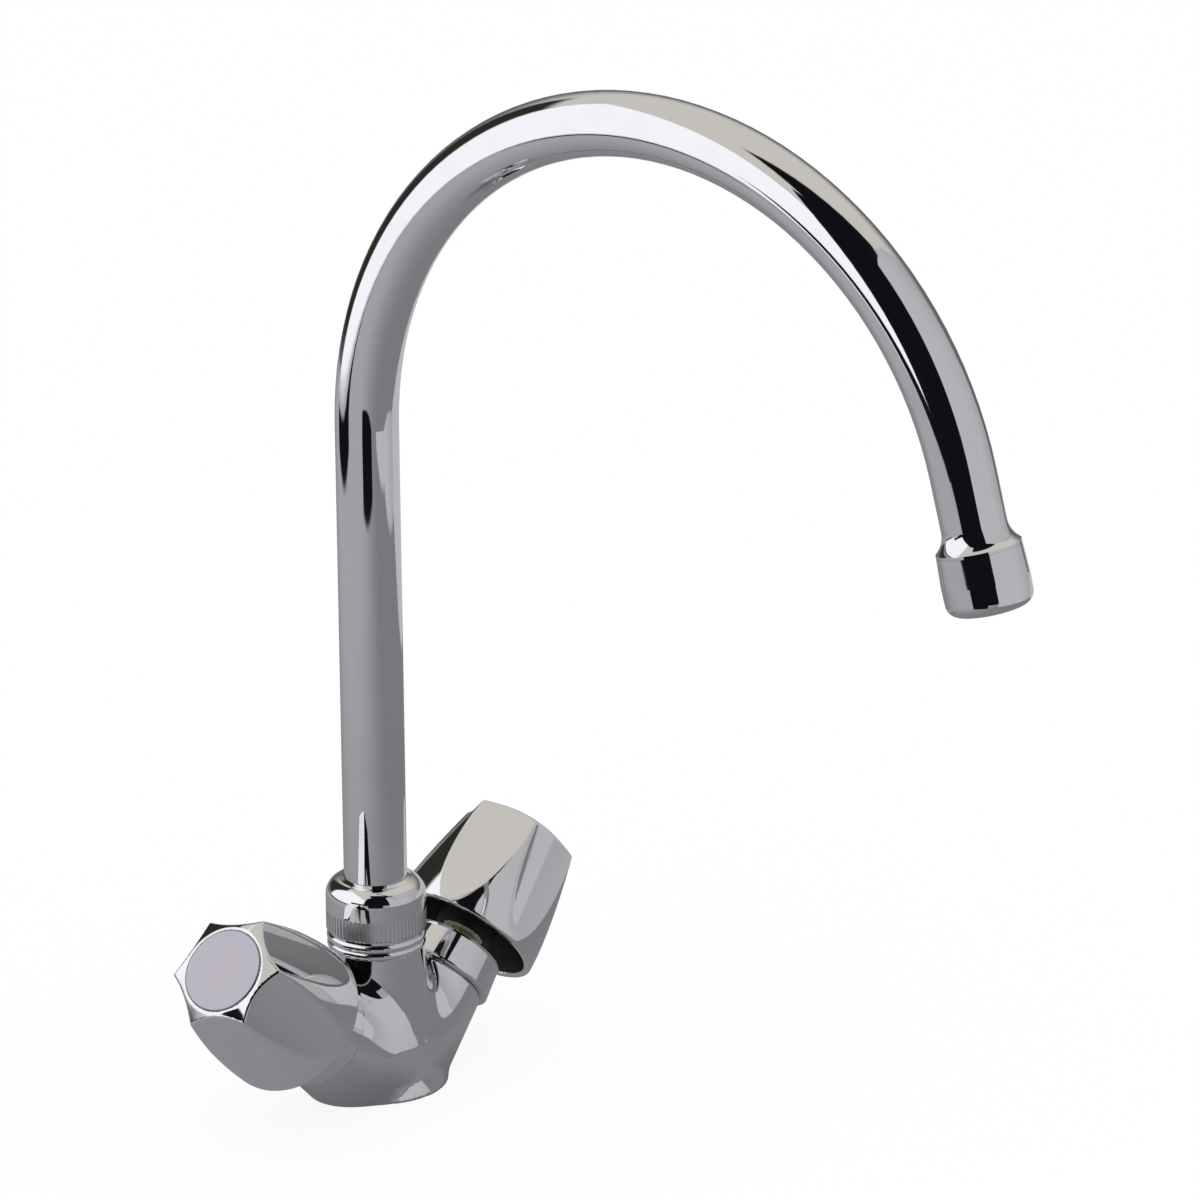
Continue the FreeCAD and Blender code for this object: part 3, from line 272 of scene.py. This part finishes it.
def brushed_face(name, side, ring_colour):
    """The brushed disc of one knob, with its ring."""
    material, shader, place = start_finish(name, Metallic=1.0)
    _, across, behind = arm_axes(side)
    u, v = place.along(across), place.along(behind)
    brushing = {0: u * STREAKS_ALONG, 1: v * STREAKS_ACROSS}
    streak = u.node("ShaderNodeCombineXYZ", {}, brushing).noise(1.0, 4.0)
    ring = (u * u + v * v).root().inside(RING_INSIDE, RING_OUTSIDE, RING_SOFT)
    brushed = mixed(streak, BRUSHED_DARK, BRUSHED_LIGHT)
    feed(shader, "Base Color", mixed(ring * RING_STRENGTH, brushed, ring_colour))
    feed(shader, "Roughness", 0.30 + streak * 0.15)
    feed_bump(shader, streak, 0.02 * MM)
    return material


hot_face = brushed_face("hot_index_face", HOT, FAINT_RED)
cold_face = brushed_face("cold_index_face", COLD, FAINT_BLUE)
print("finishes:", hot_face.name, cold_face.name)

# %% [markdown]
# ## The working parts
# Inside, the tap is machined brass, lapped ceramic, black rubber, white plastic and stainless
# steel.  They hardly show, but they are seen from below and when the tap is taken apart.  Turned
# metal keeps a fine grain from the tool, rubber a dusty grain, and plastic a soft mould finish.
# The valve's shell is duller brass, partly tarnish and partly painted shade for the gap where it
# shows under the knob, and the skirt of a knob is bare and nearly black inside, partly the bare
# casting and partly painted shade for its hollow.

# %% Brass, steel, ceramic, rubber and plastic
def metal(name, dark, light, rough):
    """Machined metal: two tones in fine grain, and a roughness that follows the grain."""
    material, shader, place = start_finish(name, Metallic=1.0)
    grain = place.noise(900.0, 4.0)
    stain = place.noise(90.0, 3.0).between(0.4, 0.7)
    feed(shader, "Base Color", mixed(grain * 0.5 + stain * 0.5, (*dark, 1), (*light, 1)))
    feed(shader, "Roughness", rough + grain * 0.2)
    feed_bump(shader, grain, 0.03 * MM)
    return material


def moulded(name, dark, light, rough, grain_scale, depth):
    """Rubber, plastic or ceramic: a fine grain, and a slightly uneven colour."""
    material, shader, place = start_finish(name)
    grain = place.noise(grain_scale, 3.0)
    uneven = place.noise(120.0, 2.0).between(0.35, 0.65)
    feed(shader, "Base Color", mixed(uneven, (*dark, 1), (*light, 1)))
    feed(shader, "Roughness", rough + grain * 0.15)
    feed_bump(shader, grain, depth * MM)
    return material


brass = metal("brass", (0.58, 0.43, 0.20), (0.76, 0.61, 0.33), 0.22)
# Darker brass for the valve's shell: partly tarnish, partly painted shade for the gap between the
# sleeve and the knob where it shows.
dull_brass_and_shade = metal("dull_brass_and_shade", (0.16, 0.12, 0.07), (0.27, 0.20, 0.11), 0.38)
steel = metal("steel", (0.50, 0.50, 0.51), (0.64, 0.64, 0.65), 0.22)
ceramic = moulded("ceramic", (0.86, 0.85, 0.80), (0.92, 0.91, 0.88), 0.12, 1500.0, 0.005)
rubber = moulded("rubber", (0.022, 0.022, 0.023), (0.040, 0.039, 0.038), 0.55, 2500.0, 0.03)
plastic = moulded("plastic", (0.80, 0.80, 0.77), (0.87, 0.87, 0.85), 0.35, 1800.0, 0.01)
# Nearly black: unplated casting inside a knob's skirt, darkened further as painted shade in that
# hollow.
bare_casting_and_shade = moulded(
    "bare_casting_and_shade", (0.012, 0.012, 0.013), (0.022, 0.022, 0.024), 0.45, 700.0, 0.05,
)
working_finishes = (brass, dull_brass_and_shade, steel, ceramic, rubber, plastic, bare_casting_and_shade)
print("finishes:", ", ".join(finish.name for finish in working_finishes))

# %% Give every CAD piece its finish
FINISHES = {
    "mixer_body": bright_chrome, "spout_tube": bright_chrome, "spout_nut": nut_chrome,
    "sleeve": bright_chrome, "outlet_collar": bright_chrome, "aerator_housing": bright_chrome,
    "hot_index_cap": hot_face, "cold_index_cap": cold_face,
    "headwork_body": dull_brass_and_shade, "spindle": brass, "spout_tail": brass,
    "fixed_disc": ceramic, "moving_disc": ceramic,
    "seal": rubber, "oring": rubber, "aerator_washer": rubber,
    "swivel_washer": plastic, "knob_insert": plastic, "aerator_insert": plastic,
    "spindle_clip": steel, "knob_screw": steel, "retaining_ring": steel, "screen": steel,
    "_knob": knob_chrome,
}


def finish_of(name):
    """The finish of the longest entry that the piece's name ends with."""
    fitting = [entry for entry in FINISHES if name.endswith(entry)]
    return FINISHES[max(fitting, key=len)]


for name, node in nodes.items():
    node.data.materials.clear()
    node.data.materials.append(finish_of(name))
print("pieces with a finish:", len(nodes))

# %% [markdown]
# ## Light and background
# The background of the photograph is pure white.  The world is white to the camera and to mirror
# and glass rays, at a strength of 1, and the lamp is soft, so that plain colours render about as
# they are written.  The floor is white paper.  To those same rays, nine tenths of it is a plain
# white glow, so that it runs into the background without a line, and the last tenth is lit paper
# that keeps a soft shadow.  It lies a hair below the tap's foot, so that the two never share a
# plane.

# %% World, floor and lamp
PURE_WHITE, PAPER_SHADE = (1.0, 1.0, 1.0, 1), (0.99, 0.99, 0.99, 1)
ROOM_STRENGTH, GLOW_SHARE = 0.97, 0.9
FLOOR_SIZE, FLOOR_DROP = 30, 0.2 * MM
LAMP_PLACE, LAMP_AIM = Vector((-0.9, -0.3, 1.6)), Vector((0, -0.1, 0.1))
LAMP_SIZE, LAMP_WATTS = 1.2, 2.0


def seen_by_eye(tree):
    """1 for what the camera sees, straight or by a mirror or glass, and 0 for other light."""
    ray = tree.nodes.new("ShaderNodeLightPath")
    kinds = ("Is Camera Ray", "Is Glossy Ray", "Is Transmission Ray")
    camera_ray, glossy_ray, glass_ray = (Value(tree, ray.outputs[kind]) for kind in kinds)
    return camera_ray + glossy_ray + glass_ray


world = bpy.data.worlds.new("studio")
bpy.context.scene.world = world
world.use_nodes = True
background = world.node_tree.nodes["Background"]
strength = seen_by_eye(world.node_tree).between(0.0, 1.0, ROOM_STRENGTH, 1.0)
world.node_tree.links.new(strength.socket, background.inputs["Strength"])
background.inputs["Color"].default_value = PURE_WHITE

bpy.ops.object.select_all(action="DESELECT")
bpy.ops.mesh.primitive_plane_add(size=FLOOR_SIZE, location=(0, 0, -FLOOR_DROP))
floor = bpy.context.object
floor.name = "white_floor"
floor_finish, floor_shader, floor_place = start_finish("white_floor", Roughness=0.9)
floor_tree = floor_finish.node_tree
shade = floor_place.noise(3.0).between(0.2, 0.8)
feed(floor_shader, "Base Color", mixed(shade, PAPER_SHADE, PURE_WHITE))
floor_shader.inputs["Specular IOR Level"].default_value = 0.0
paper = Value(floor_tree, floor_shader.outputs["BSDF"])
glow = paper.node("ShaderNodeEmission", {}, {"Color": PURE_WHITE, "Strength": 1.0})
glow_share = seen_by_eye(floor_tree).between(0.0, 1.0, 0.0, GLOW_SHARE)
seen_paper = paper.node("ShaderNodeMixShader", {}, {0: glow_share, 1: paper, 2: glow})
feed(floor_tree.nodes["Material Output"], "Surface", seen_paper)
floor.data.materials.append(floor_finish)
floor.visible_glossy = False

bpy.ops.object.light_add(type="AREA", location=LAMP_PLACE)
lamp = bpy.context.object
lamp.name = "soft_lamp"
lamp.data.shape = "DISK"
lamp.data.size = LAMP_SIZE
lamp.data.energy = LAMP_WATTS
lamp.rotation_euler = (LAMP_AIM - LAMP_PLACE).to_track_quat("-Z", "Y").to_euler()
lamp.visible_glossy = False
print("world strength for plain surfaces", ROOM_STRENGTH, "and one soft lamp")

# %% [markdown]
# ## The photographer's tent
# What gives the chrome its bands is the tent that the tap was photographed in: a white light box
# at its left, a black cloth in front with the camera behind it, light grey walls at the right and
# a grey table.  Each is a card that only mirror rays see, so it shades nothing and stays out of
# the picture from any side.  But for the light box, which stands for a lamp, the glow of a card is
# painted light: the tone that a lit cloth, wall or table shows.  A card fades out at its edges
# through its Alpha, because the bands in the photograph end softly.  Where a card stands was read
# from its reflection in the spout's arch, which bends round to face every way.

# %% A card of the tent
TENT_CENTRE = Vector((0, -0.06, 0))


def glowing(name):
    """A finish that only glows: the material, its shader and the place on the card."""
    material, shader, place = start_finish(name, Base_Color=(0, 0, 0, 1), Roughness=1.0)
    shader.inputs["Specular IOR Level"].default_value = 0.0
    shader.inputs["Emission Strength"].default_value = 1.0
    return material, shader, place


def card_finish(name, width, height, tones, soft):
    """A glowing card: its tones at its first and last edge, and how far its edges fade out."""
    material, shader, place = glowing(name)
    x, y = place.along((1, 0, 0)), place.along((0, 1, 0))
    across = x.between(-width / 2, width / 2)
    feed(shader, "Emission Color", mixed(across, (*tones[1], 1), (*tones[0], 1)))
    to_side, to_end = width / 2 - x.unsigned(), height / 2 - y.unsigned()
    feed(shader, "Alpha", to_side.least(to_end).between(0.0, soft))
    return material


def only_mirrored(card, finish):
    """Give a card its finish and hide it from all but mirror rays."""
    card.data.materials.append(finish)
    card.visible_camera = False
    card.visible_diffuse = False
    card.visible_transmission = False
    card.visible_shadow = False


def card(name, middle, turn, width, height, tones, soft):
    """A flat card of the tent; sizes in metres."""
    bpy.ops.object.select_all(action="DESELECT")
    bpy.ops.mesh.primitive_plane_add(size=1, location=middle, rotation=turn)
    made = bpy.context.object
    made.name = name
    made.scale = (width, height, 1)
    bpy.ops.object.transform_apply(location=False, rotation=False, scale=True)
    only_mirrored(made, card_finish(name, width, height, tones, soft))


def bearing(facing):
    """The level directions at an angle in degrees, from +X towards +Y, and a quarter turn on."""
    angle = math.radians(facing)
    outward = Vector((math.cos(angle), math.sin(angle), 0))
    return angle, outward, Vector((-outward.y, outward.x, 0))


def wall(name, facing, distance, start, end, foot, top, tones, soft):
    """An upright card: where it lies from the tap, how far off, its two sides, foot and top."""
    angle, outward, aside = bearing(facing)
    middle = TENT_CENTRE + outward * distance + aside * (start + end) / 2
    middle.z = (foot + top) / 2
    upright_turn = (math.pi / 2, 0, angle - math.pi / 2)
    card(name, middle, upright_turn, end - start, top - foot, tones, soft)


def ceiling(name, facing, near, far, start, end, height, tones, soft):
    """A level card: from near to far along the way it lies from the tap, and its two sides."""
    angle, outward, aside = bearing(facing)
    middle = TENT_CENTRE + outward * (near + far) / 2 + aside * (start + end) / 2
    middle.z = height
    card(name, middle, (0, 0, angle), far - near, end - start, tones, soft)


print("the tent stands round", [round(x, 3) for x in TENT_CENTRE], "metres")

# %% The tent's cloth, all round
# The cloth's glow is painted light: lighter towards the top, and darker towards the back right.
CLOTH_RADIUS = 2.0
CLOTH_FRONT, CLOTH_BACK = (0.40, 0.40, 0.42, 1), (0.145, 0.147, 0.155, 1)
CLOTH_TOP = (0.66, 0.63, 0.58, 1)
cloth, cloth_shader, cloth_place = glowing("tent_cloth")
behind = cloth_place.along(bearing(30)[1])
low_tone = mixed(behind.between(0.2, 1.4), CLOTH_FRONT, CLOTH_BACK)
cloth_height = cloth_place.along((0, 0, 1))
feed(cloth_shader, "Emission Color", mixed(cloth_height.between(0.45, 1.4), low_tone, CLOTH_TOP))
bpy.ops.object.select_all(action="DESELECT")
bpy.ops.mesh.primitive_uv_sphere_add(segments=48, ring_count=24, radius=CLOTH_RADIUS)
bpy.context.object.name = "tent_cloth"
only_mirrored(bpy.context.object, cloth)
print("tent cloth radius", CLOTH_RADIUS, "metres")

# %% The tent's table
# The table's glow is painted light: lighter on its side towards the light box, with a painted
# shadow under the tap.
TABLE_RADIUS, TABLE_DROP = 0.9, 2 * MM
TABLE_SHADED, TABLE_LIT = (0.225, 0.225, 0.235, 1), (0.42, 0.415, 0.44, 1)
TAP_SHADOW, TAP_SHADOW_RADIUS = (0.08, 0.08, 0.085, 1), 55 * MM
table, table_shader, table_place = glowing("tent_table")
lit_side = table_place.along(bearing(145)[1]).between(-0.15, 0.45)
x, y = table_place.along((1, 0, 0)), table_place.along((0, 1, 0)) + TENT_CENTRE.y
# A painted shadow under the tap: the table goes dark near the tap's axis and fades back within the
# shadow's radius.
out_of_tap_shadow = (x * x + y * y).root().between(0.0, TAP_SHADOW_RADIUS)
table_tone = mixed(out_of_tap_shadow, TAP_SHADOW, mixed(lit_side, TABLE_SHADED, TABLE_LIT))
feed(table_shader, "Emission Color", table_tone)
bpy.ops.object.select_all(action="DESELECT")
bpy.ops.mesh.primitive_circle_add(
    vertices=96, radius=TABLE_RADIUS, fill_type="NGON",
    location=TENT_CENTRE - Vector((0, 0, TABLE_DROP)),
)
bpy.context.object.name = "tent_table"
only_mirrored(bpy.context.object, table)
print("tent table radius", TABLE_RADIUS, "metres")

# %% Light box, black cloths and grey walls
BLACK, DARK = (0.006, 0.006, 0.008), (0.028, 0.027, 0.022)
WHITE, GREY, FAR_GREY = (1.08, 1.07, 1.12), (0.545, 0.535, 0.55), (0.42, 0.415, 0.43)
wall("light_box", 125, 0.45, -0.26, 0.80, 0.070, 0.85, (WHITE, WHITE), 0.04)
wall("light_box_foot", 125, 0.44, -0.22, 0.16, 0.044, 0.078, (BLACK, BLACK), 0.006)
wall("black_side", 172, 0.43, -0.14, 0.24, 0.125, 0.20, (BLACK, BLACK), 0.01)
wall("black_low", 216, 0.44, -0.17, 0.12, 0.003, 0.17, (BLACK, BLACK), 0.005)
wall("black_front", 219, 0.47, -0.31, 0.31, 0.13, 0.97, (BLACK, BLACK), 0.015)
ceiling("black_top", 217, 0.12, 0.60, -0.19, 0.42, 0.86, (BLACK, BLACK), 0.04)
wall("dark_corner", 79, 0.50, -0.15, 0.18, 0.08, 0.66, (DARK, DARK), 0.06)
wall("grey_right", 275, 0.45, -0.22, 1.2, 0.004, 0.90, (GREY, FAR_GREY), 0.006)
wall("grey_side", 305, 0.43, -0.17, 0.26, -0.002, 0.30, (GREY, FAR_GREY), 0.006)
wall("grey_far", 5, 0.37, -0.32, 0.26, -0.006, 0.13, (GREY, GREY), 0.008)

# %% [markdown]
# ## Forms that are settled, not cut
# The casting and the knobs have no sharp edge anywhere: they were cast, then ground and polished
# on soft wheels, and chrome shows every edge as a line of light.  A bevel can't follow such
# edges where curved scoops run out into a rim, so these pieces are made another way.  A merged
# copy of the CAD piece is remeshed into small even faces, and then each corner of the mesh
# settles onto the real surface, written as one formula: the distance from a point to the form.
# Where two forms meet, a soft minimum or maximum of their distances rounds the meeting.

# %% Soft meetings of two forms
def soft_min(first, second, blend):
    """The nearer of two forms, with their meeting filled by a fillet."""
    overlap = np.clip(blend - np.abs(first - second), 0, None)
    return np.minimum(first, second) - overlap ** 2 / (4 * blend)


def soft_max(first, second, blend):
    """What two forms share, with the edge between them rounded."""
    return -soft_min(-first, -second, blend)


def round_axis(points, axis):
    """How far points lie along an axis through the origin, and how far from it."""
    along = points @ np.array(axis)
    return along, np.linalg.norm(points - along[:, None] * np.array(axis), axis=1)


def bore(along, off, radius, start, end):
    """A round hole from start to end along an axis."""
    return np.maximum(off - radius, np.maximum(start - along, along - end))


# %% Settle a mesh onto a form
ROUNDS, LONGEST_STEP = 10, 0.5  # times that it moves, and how many voxels at most
MERGE_DISTANCE = 0.001 * MM
FLATTEST, TINY = 0.2, 1e-9  # least slope and length to divide by


def slope(form, points, step=0.01):
    """Which way, and how fast, the distance to a form grows."""
    return np.stack([
        (form(points + step * unit) - form(points - step * unit)) / (2 * step)
        for unit in np.eye(3)
    ], axis=1)


def small_faces(piece, voxel):
    """Merge a copy of a CAD mesh and remesh it into even faces."""
    bpy.ops.object.select_all(action="DESELECT")
    piece.select_set(True)
    bpy.context.view_layer.objects.active = piece
    bpy.ops.object.mode_set(mode="EDIT")
    bpy.ops.mesh.select_all(action="SELECT")
    bpy.ops.mesh.remove_doubles(threshold=MERGE_DISTANCE)
    bpy.ops.object.mode_set(mode="OBJECT")
    remesh = piece.modifiers.new("small_faces", "REMESH")
    remesh.mode = "VOXEL"
    remesh.voxel_size = voxel * MM
    bpy.ops.object.modifier_apply(modifier=remesh.name)


def settled_copy(name, node, voxel, form):
    """A remeshed copy of a CAD piece whose corners lie on a form; sizes in millimetres."""
    piece = nodes[node].copy()
    piece.data = nodes[node].data.copy()
    piece.name = piece.data.name = name
    for key in [key for key in piece.keys() if key.startswith("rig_")]:
        del piece[key]
    piece.parent = None
    bpy.context.scene.collection.objects.link(piece)
    small_faces(piece, voxel)
    points = np.zeros(len(piece.data.vertices) * 3)
    piece.data.vertices.foreach_get("co", points)
    points = points.reshape(-1, 3) / MM
    for _ in range(ROUNDS):
        steepness = slope(form, points)
        steep = np.maximum((steepness ** 2).sum(axis=1), FLATTEST)
        move = steepness * (form(points) / steep)[:, None]
        length = np.maximum(np.linalg.norm(move, axis=1), TINY)
        points -= move * np.minimum(1, LONGEST_STEP * voxel / length)[:, None]
    piece.data.vertices.foreach_set("co", (points * MM).ravel())
    bpy.ops.object.shade_smooth()
    steepness = slope(form, points)
    steepness /= np.maximum(np.linalg.norm(steepness, axis=1), TINY)[:, None]
    piece.data.normals_split_custom_set_from_vertices([tuple(row) for row in steepness])
    off_form = float(np.abs(form(points)).max())
    print(name, "faces", len(piece.data.polygons), "off the form by", round(off_form, 3), "mm")
    return piece


# %% [markdown]
# ## The casting
# The body is one brass casting: a barrel that tapers upwards from a flared foot on the sink, and
# a cone to each side that carries a valve.  On the real tap they flow into each other with a
# fillet that the CAD solid leaves out.  Here the two cones and the barrel meet in a soft minimum
# whose fillet grows from the foot upwards, the foot's edge is rounded, and every bore of the CAD
# solid is taken out again.

# %% The casting's form, in millimetres
BARREL_TOP, BARREL_HEIGHT, BARREL_TAPER = 13.5, 41.8, 0.112
FLARE_HEIGHT, FLARE = 20.0, 0.0048
ARM_FOOT, ARM_END, ARM_LENGTH, ARM_EDGE = 17.15, 14.0, 35.3, 0.6
FILLET, FILLET_LOW, FILLET_RISE, LEAST_FILLET = 9.0, 3, 12, 0.15
FOOT_ROUND, BORE_EDGE = 1.0, 0.3
NECK = (12.0, 30.0, 54.05)  # this and each bore: a radius, a start and an end
MIXING_CHAMBER, NECK_BORE = (7.5, 20.0, 30.0), (9.6, 28.05, 70.0)
GALLERY, GALLERY_HEIGHT = (2.75, -17.0, 17.0), 23.0
STUD_BORE, STUD_OFFSET = (3.4, -9.0, 12.0), 11.0
INLET_BORE, INLET_OFFSET = (4.5, -9.0, 13.5), 8.5
VALVE_BORES = ((4.8, 16.5, 20.0), (9.3, 18.0, 32.0), (10.4, 29.8, 60.0))
GROOVE_RADIUS, GROOVE_HALF, GROOVE_DEPTH = 17.3, 1.1, 1.85


def barrel_form(points):
    """The upright barrel, below its bead."""
    off = np.hypot(points[:, 0], points[:, 1])
    flare = np.clip(FLARE_HEIGHT - points[:, 2], 0, FLARE_HEIGHT)
    taper = BARREL_TAPER * np.clip(BARREL_HEIGHT - points[:, 2], 0, None)
    radius = BARREL_TOP + taper + FLARE * flare ** 2
    lean = BARREL_TAPER + 2 * FLARE * flare
    return np.maximum((off - radius) / np.sqrt(1 + lean ** 2), points[:, 2] - BARREL_HEIGHT)


def arm_form(points, side):
    """One cone, from the middle of the tap to the end that carries the valve."""
    along, off = round_axis(points, arm_axes(side)[0])
    taper = (ARM_FOOT - ARM_END) / ARM_LENGTH
    cone = (off - ARM_FOOT + taper * along) / math.hypot(1, taper)
    return soft_max(np.maximum(cone, -along), along - ARM_LENGTH, ARM_EDGE)


def casting_bores(points):
    """Everything that is bored out of the casting, as one form."""
    x, y, z = points.T
    around = np.hypot(x, y)
    holes = [
        bore(z, around, *MIXING_CHAMBER),
        bore(z, around, *NECK_BORE),
        bore(x, np.hypot(y, z - GALLERY_HEIGHT), *GALLERY),
        bore(z, np.hypot(x, y + STUD_OFFSET), *STUD_BORE),
        np.maximum(np.abs(around - GROOVE_RADIUS) - GROOVE_HALF, z - GROOVE_DEPTH),
    ]
    for side in (HOT, COLD):
        holes.append(bore(z, np.hypot(x - side * INLET_OFFSET, y), *INLET_BORE))
        along, off = round_axis(points, arm_axes(side)[0])
        holes.extend(bore(along, off, *valve_bore) for valve_bore in VALVE_BORES)
    return np.minimum.reduce(holes)


def casting_form(points):
    """The whole casting."""
    arms = np.minimum(arm_form(points, HOT), arm_form(points, COLD))
    fillet = FILLET * np.clip((points[:, 2] - FILLET_LOW) / FILLET_RISE, LEAST_FILLET, 1)
    outside = soft_min(barrel_form(points), arms, fillet)
    neck = bore(points[:, 2], np.hypot(points[:, 0], points[:, 1]), *NECK)
    outside = soft_max(np.minimum(outside, neck), -points[:, 2], FOOT_ROUND)
    return soft_max(outside, -casting_bores(points), BORE_EDGE)


# %% Make the casting
CASTING_VOXEL = 0.6
casting = settled_copy("casting", "mixer_body", CASTING_VOXEL, casting_form)
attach(casting, "fixed_body")
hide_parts("mixer_body")

# %% [markdown]
# ## The bead under the nut
# A thin half-round bead is turned at the barrel's top.  It is the outer part of a ring of round
# section, so it starts as a torus, and two level cuts take off its top and bottom.

# %% Turn the bead
BEAD_RING, BEAD_SECTION, BEAD_MIDDLE, BEAD_TOP = 12.655, 1.45, 42.9, 44.0  # millimetres
SHARPEST_SMOOTH = math.radians(40)


def level_cut(height, keep_above):
    """Cut the selected mesh along a level plane, drop one side and close the cut."""
    bpy.ops.mesh.select_all(action="SELECT")
    bpy.ops.mesh.bisect(
        plane_co=(0, 0, height * MM), plane_no=(0, 0, 1), use_fill=True,
        clear_inner=keep_above, clear_outer=not keep_above, threshold=1e-7,
    )


bpy.ops.object.select_all(action="DESELECT")
bpy.ops.mesh.primitive_torus_add(
    major_segments=128, minor_segments=32, location=(0, 0, BEAD_MIDDLE * MM),
    major_radius=BEAD_RING * MM, minor_radius=BEAD_SECTION * MM,
)
bead = bpy.context.object
bead.name = bead.data.name = "barrel_bead"
bpy.ops.object.transform_apply(location=True)
bpy.ops.object.mode_set(mode="EDIT")
level_cut(BARREL_HEIGHT, True)
level_cut(BEAD_TOP, False)
bpy.ops.object.mode_set(mode="OBJECT")
bpy.ops.object.shade_smooth_by_angle(angle=SHARPEST_SMOOTH)
bead.data.materials.append(bright_chrome)
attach(bead, "fixed_body")
print("bead faces:", len(bead.data.polygons))

# %% [markdown]
# ## The knobs
# Each knob is a hollow zinc casting: a turned outside that swells slightly, six long scoops for
# the fingers that run out just above the rim, a sloping crown, and a deep skirt that hides the
# valve.  All its edges are worn soft by polishing, about half a millimetre round.  The
# plating hardly reaches inside the skirt, so those faces get the bare casting's dull finish,
# nearly black, which is also painted shade for the skirt's deep hollow.

# %% The knob's form, in millimetres
RIM, RIM_BAND, CORNER, FACE = 49.9, 51.6, 85.3, 87.35  # from the origin, along the arm
RIM_RADIUS, CORNER_RADIUS, FACE_RADIUS, FLANK_CURVE = 22.4, 17.8, 12.45, 175.0
SCOOPS, SCOOP_RADIUS, SCOOP_FLOOR = 6, 36.5, 14.3
SCOOP_TILT, SCOOP_TURN = math.radians(13.4), math.radians(15.5)
SKIRT_ROOF, SKIRT_RIM, SKIRT_TOP = 74.0, 20.3, 13.4
HUB_RADIUS, HUB_FOOT = 8.8, 50.5
KNOB_BORES = (  # each a radius, a start and an end
    (6.35, 40.0, 61.0),  # the hub's socket
    (2.08, 60.0, 64.0),  # the screw's hole
    (4.6, 63.5, 90.0),  # the tunnel to the screw
    (12.15, 85.55, 99.0),  # the index disc's seat
)
EDGE, BAND_EDGE, FACE_EDGE, RIM_EDGE, HOLLOW_EDGE = 0.5, 0.5, 0.3, 0.8, 0.3


def flank_form(along, off):
    """The turned outside, an arc from the rim band up to the corners."""
    half = math.hypot(RIM_RADIUS - CORNER_RADIUS, CORNER - RIM_BAND) / 2
    inward = math.sqrt(FLANK_CURVE ** 2 - half ** 2)
    lean = math.atan2(RIM_RADIUS - CORNER_RADIUS, CORNER - RIM_BAND)
    centre_off = (RIM_RADIUS + CORNER_RADIUS) / 2 - inward * math.cos(lean)
    centre_along = (RIM_BAND + CORNER) / 2 - inward * math.sin(lean)
    return np.hypot(off - centre_off, along - centre_along) - FLANK_CURVE


def scoops_form(points, side):
    """The six finger scoops, as one form."""
    axis, across, behind = arm_axes(side)
    far = SCOOP_FLOOR + SCOOP_RADIUS / math.cos(SCOOP_TILT) + (CORNER - RIM) * math.tan(SCOOP_TILT)
    scoops = []
    for number in range(SCOOPS):
        turn = SCOOP_TURN + number * 2 * math.pi / SCOOPS
        out = across * math.cos(turn) + behind * math.sin(turn)
        middle = np.array(axis * RIM + out * far)
        scoop_axis = axis * math.cos(SCOOP_TILT) - out * math.sin(SCOOP_TILT)
        scoops.append(round_axis(points - middle, scoop_axis)[1])
    return np.minimum.reduce(scoops) - SCOOP_RADIUS


def knob_hollows(along, off):
    """Skirt, hub socket, screw tunnel and seat of the index disc, as one form."""
    skirt = SKIRT_RIM - (along - RIM) * (SKIRT_RIM - SKIRT_TOP) / (SKIRT_ROOF - RIM)
    hollow = np.maximum(np.maximum(off - skirt, HUB_RADIUS - off), along - SKIRT_ROOF)
    hollow = np.minimum(hollow, np.maximum(off - skirt, along - HUB_FOOT))
    for knob_bore in KNOB_BORES:
        hollow = np.minimum(hollow, bore(along, off, *knob_bore))
    return hollow


def crown_form(along, off):
    """The sloping crown, a flat cone from the corners in to the face."""
    rise, run = FACE - CORNER, CORNER_RADIUS - FACE_RADIUS
    return ((off - CORNER_RADIUS) * rise + (along - CORNER) * run) / math.hypot(run, rise)


def knob_form(points, side):
    """The whole knob."""
    along, off = round_axis(points, arm_axes(side)[0])
    crown = soft_max(crown_form(along, off), along - FACE, FACE_EDGE)
    outside = soft_max(flank_form(along, off), off - RIM_RADIUS, BAND_EDGE)
    outside = soft_max(outside, -scoops_form(points, side), EDGE)
    outside = soft_max(outside, crown, EDGE)
    outside = soft_max(outside, RIM - along, RIM_EDGE)
    return soft_max(outside, -knob_hollows(along, off), HOLLOW_EDGE)


# %% Make the knobs
KNOB_VOXEL = 0.45
SKIN, MOUTH, ROOF_ROOM = 0.2, 0.4, 0.5  # how near to the hollow, and how far from its ends


def dull_and_shade_inside(knob, side):
    """Give the faces inside the skirt their own nearly black finish, because plating hardly
    reaches them and as painted shade for the hollow.
    """
    centres = np.zeros(len(knob.data.polygons) * 3)
    knob.data.polygons.foreach_get("center", centres)
    along, off = round_axis(centres.reshape(-1, 3) / MM, arm_axes(side)[0])
    within = (along > RIM + MOUTH) & (along < SKIRT_ROOF + ROOF_ROOM)
    inside = within & (np.abs(knob_hollows(along, off)) < SKIN)
    knob.data.materials.append(bare_casting_and_shade)
    knob.data.polygons.foreach_set("material_index", inside.astype(np.int32))
    print("faces inside the skirt:", int(inside.sum()))


for side, name in ((HOT, "hot"), (COLD, "cold")):
    knob = settled_copy(
        name + "_polished_knob", name + "_knob", KNOB_VOXEL,
        lambda points, side=side: knob_form(points, side),
    )
    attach(knob, name + "_handle")
    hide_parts(name + "_knob")
    dull_and_shade_inside(knob, side)

# %% Show colours as they are written
view_settings = bpy.context.scene.view_settings
view_settings.view_transform = "Standard"
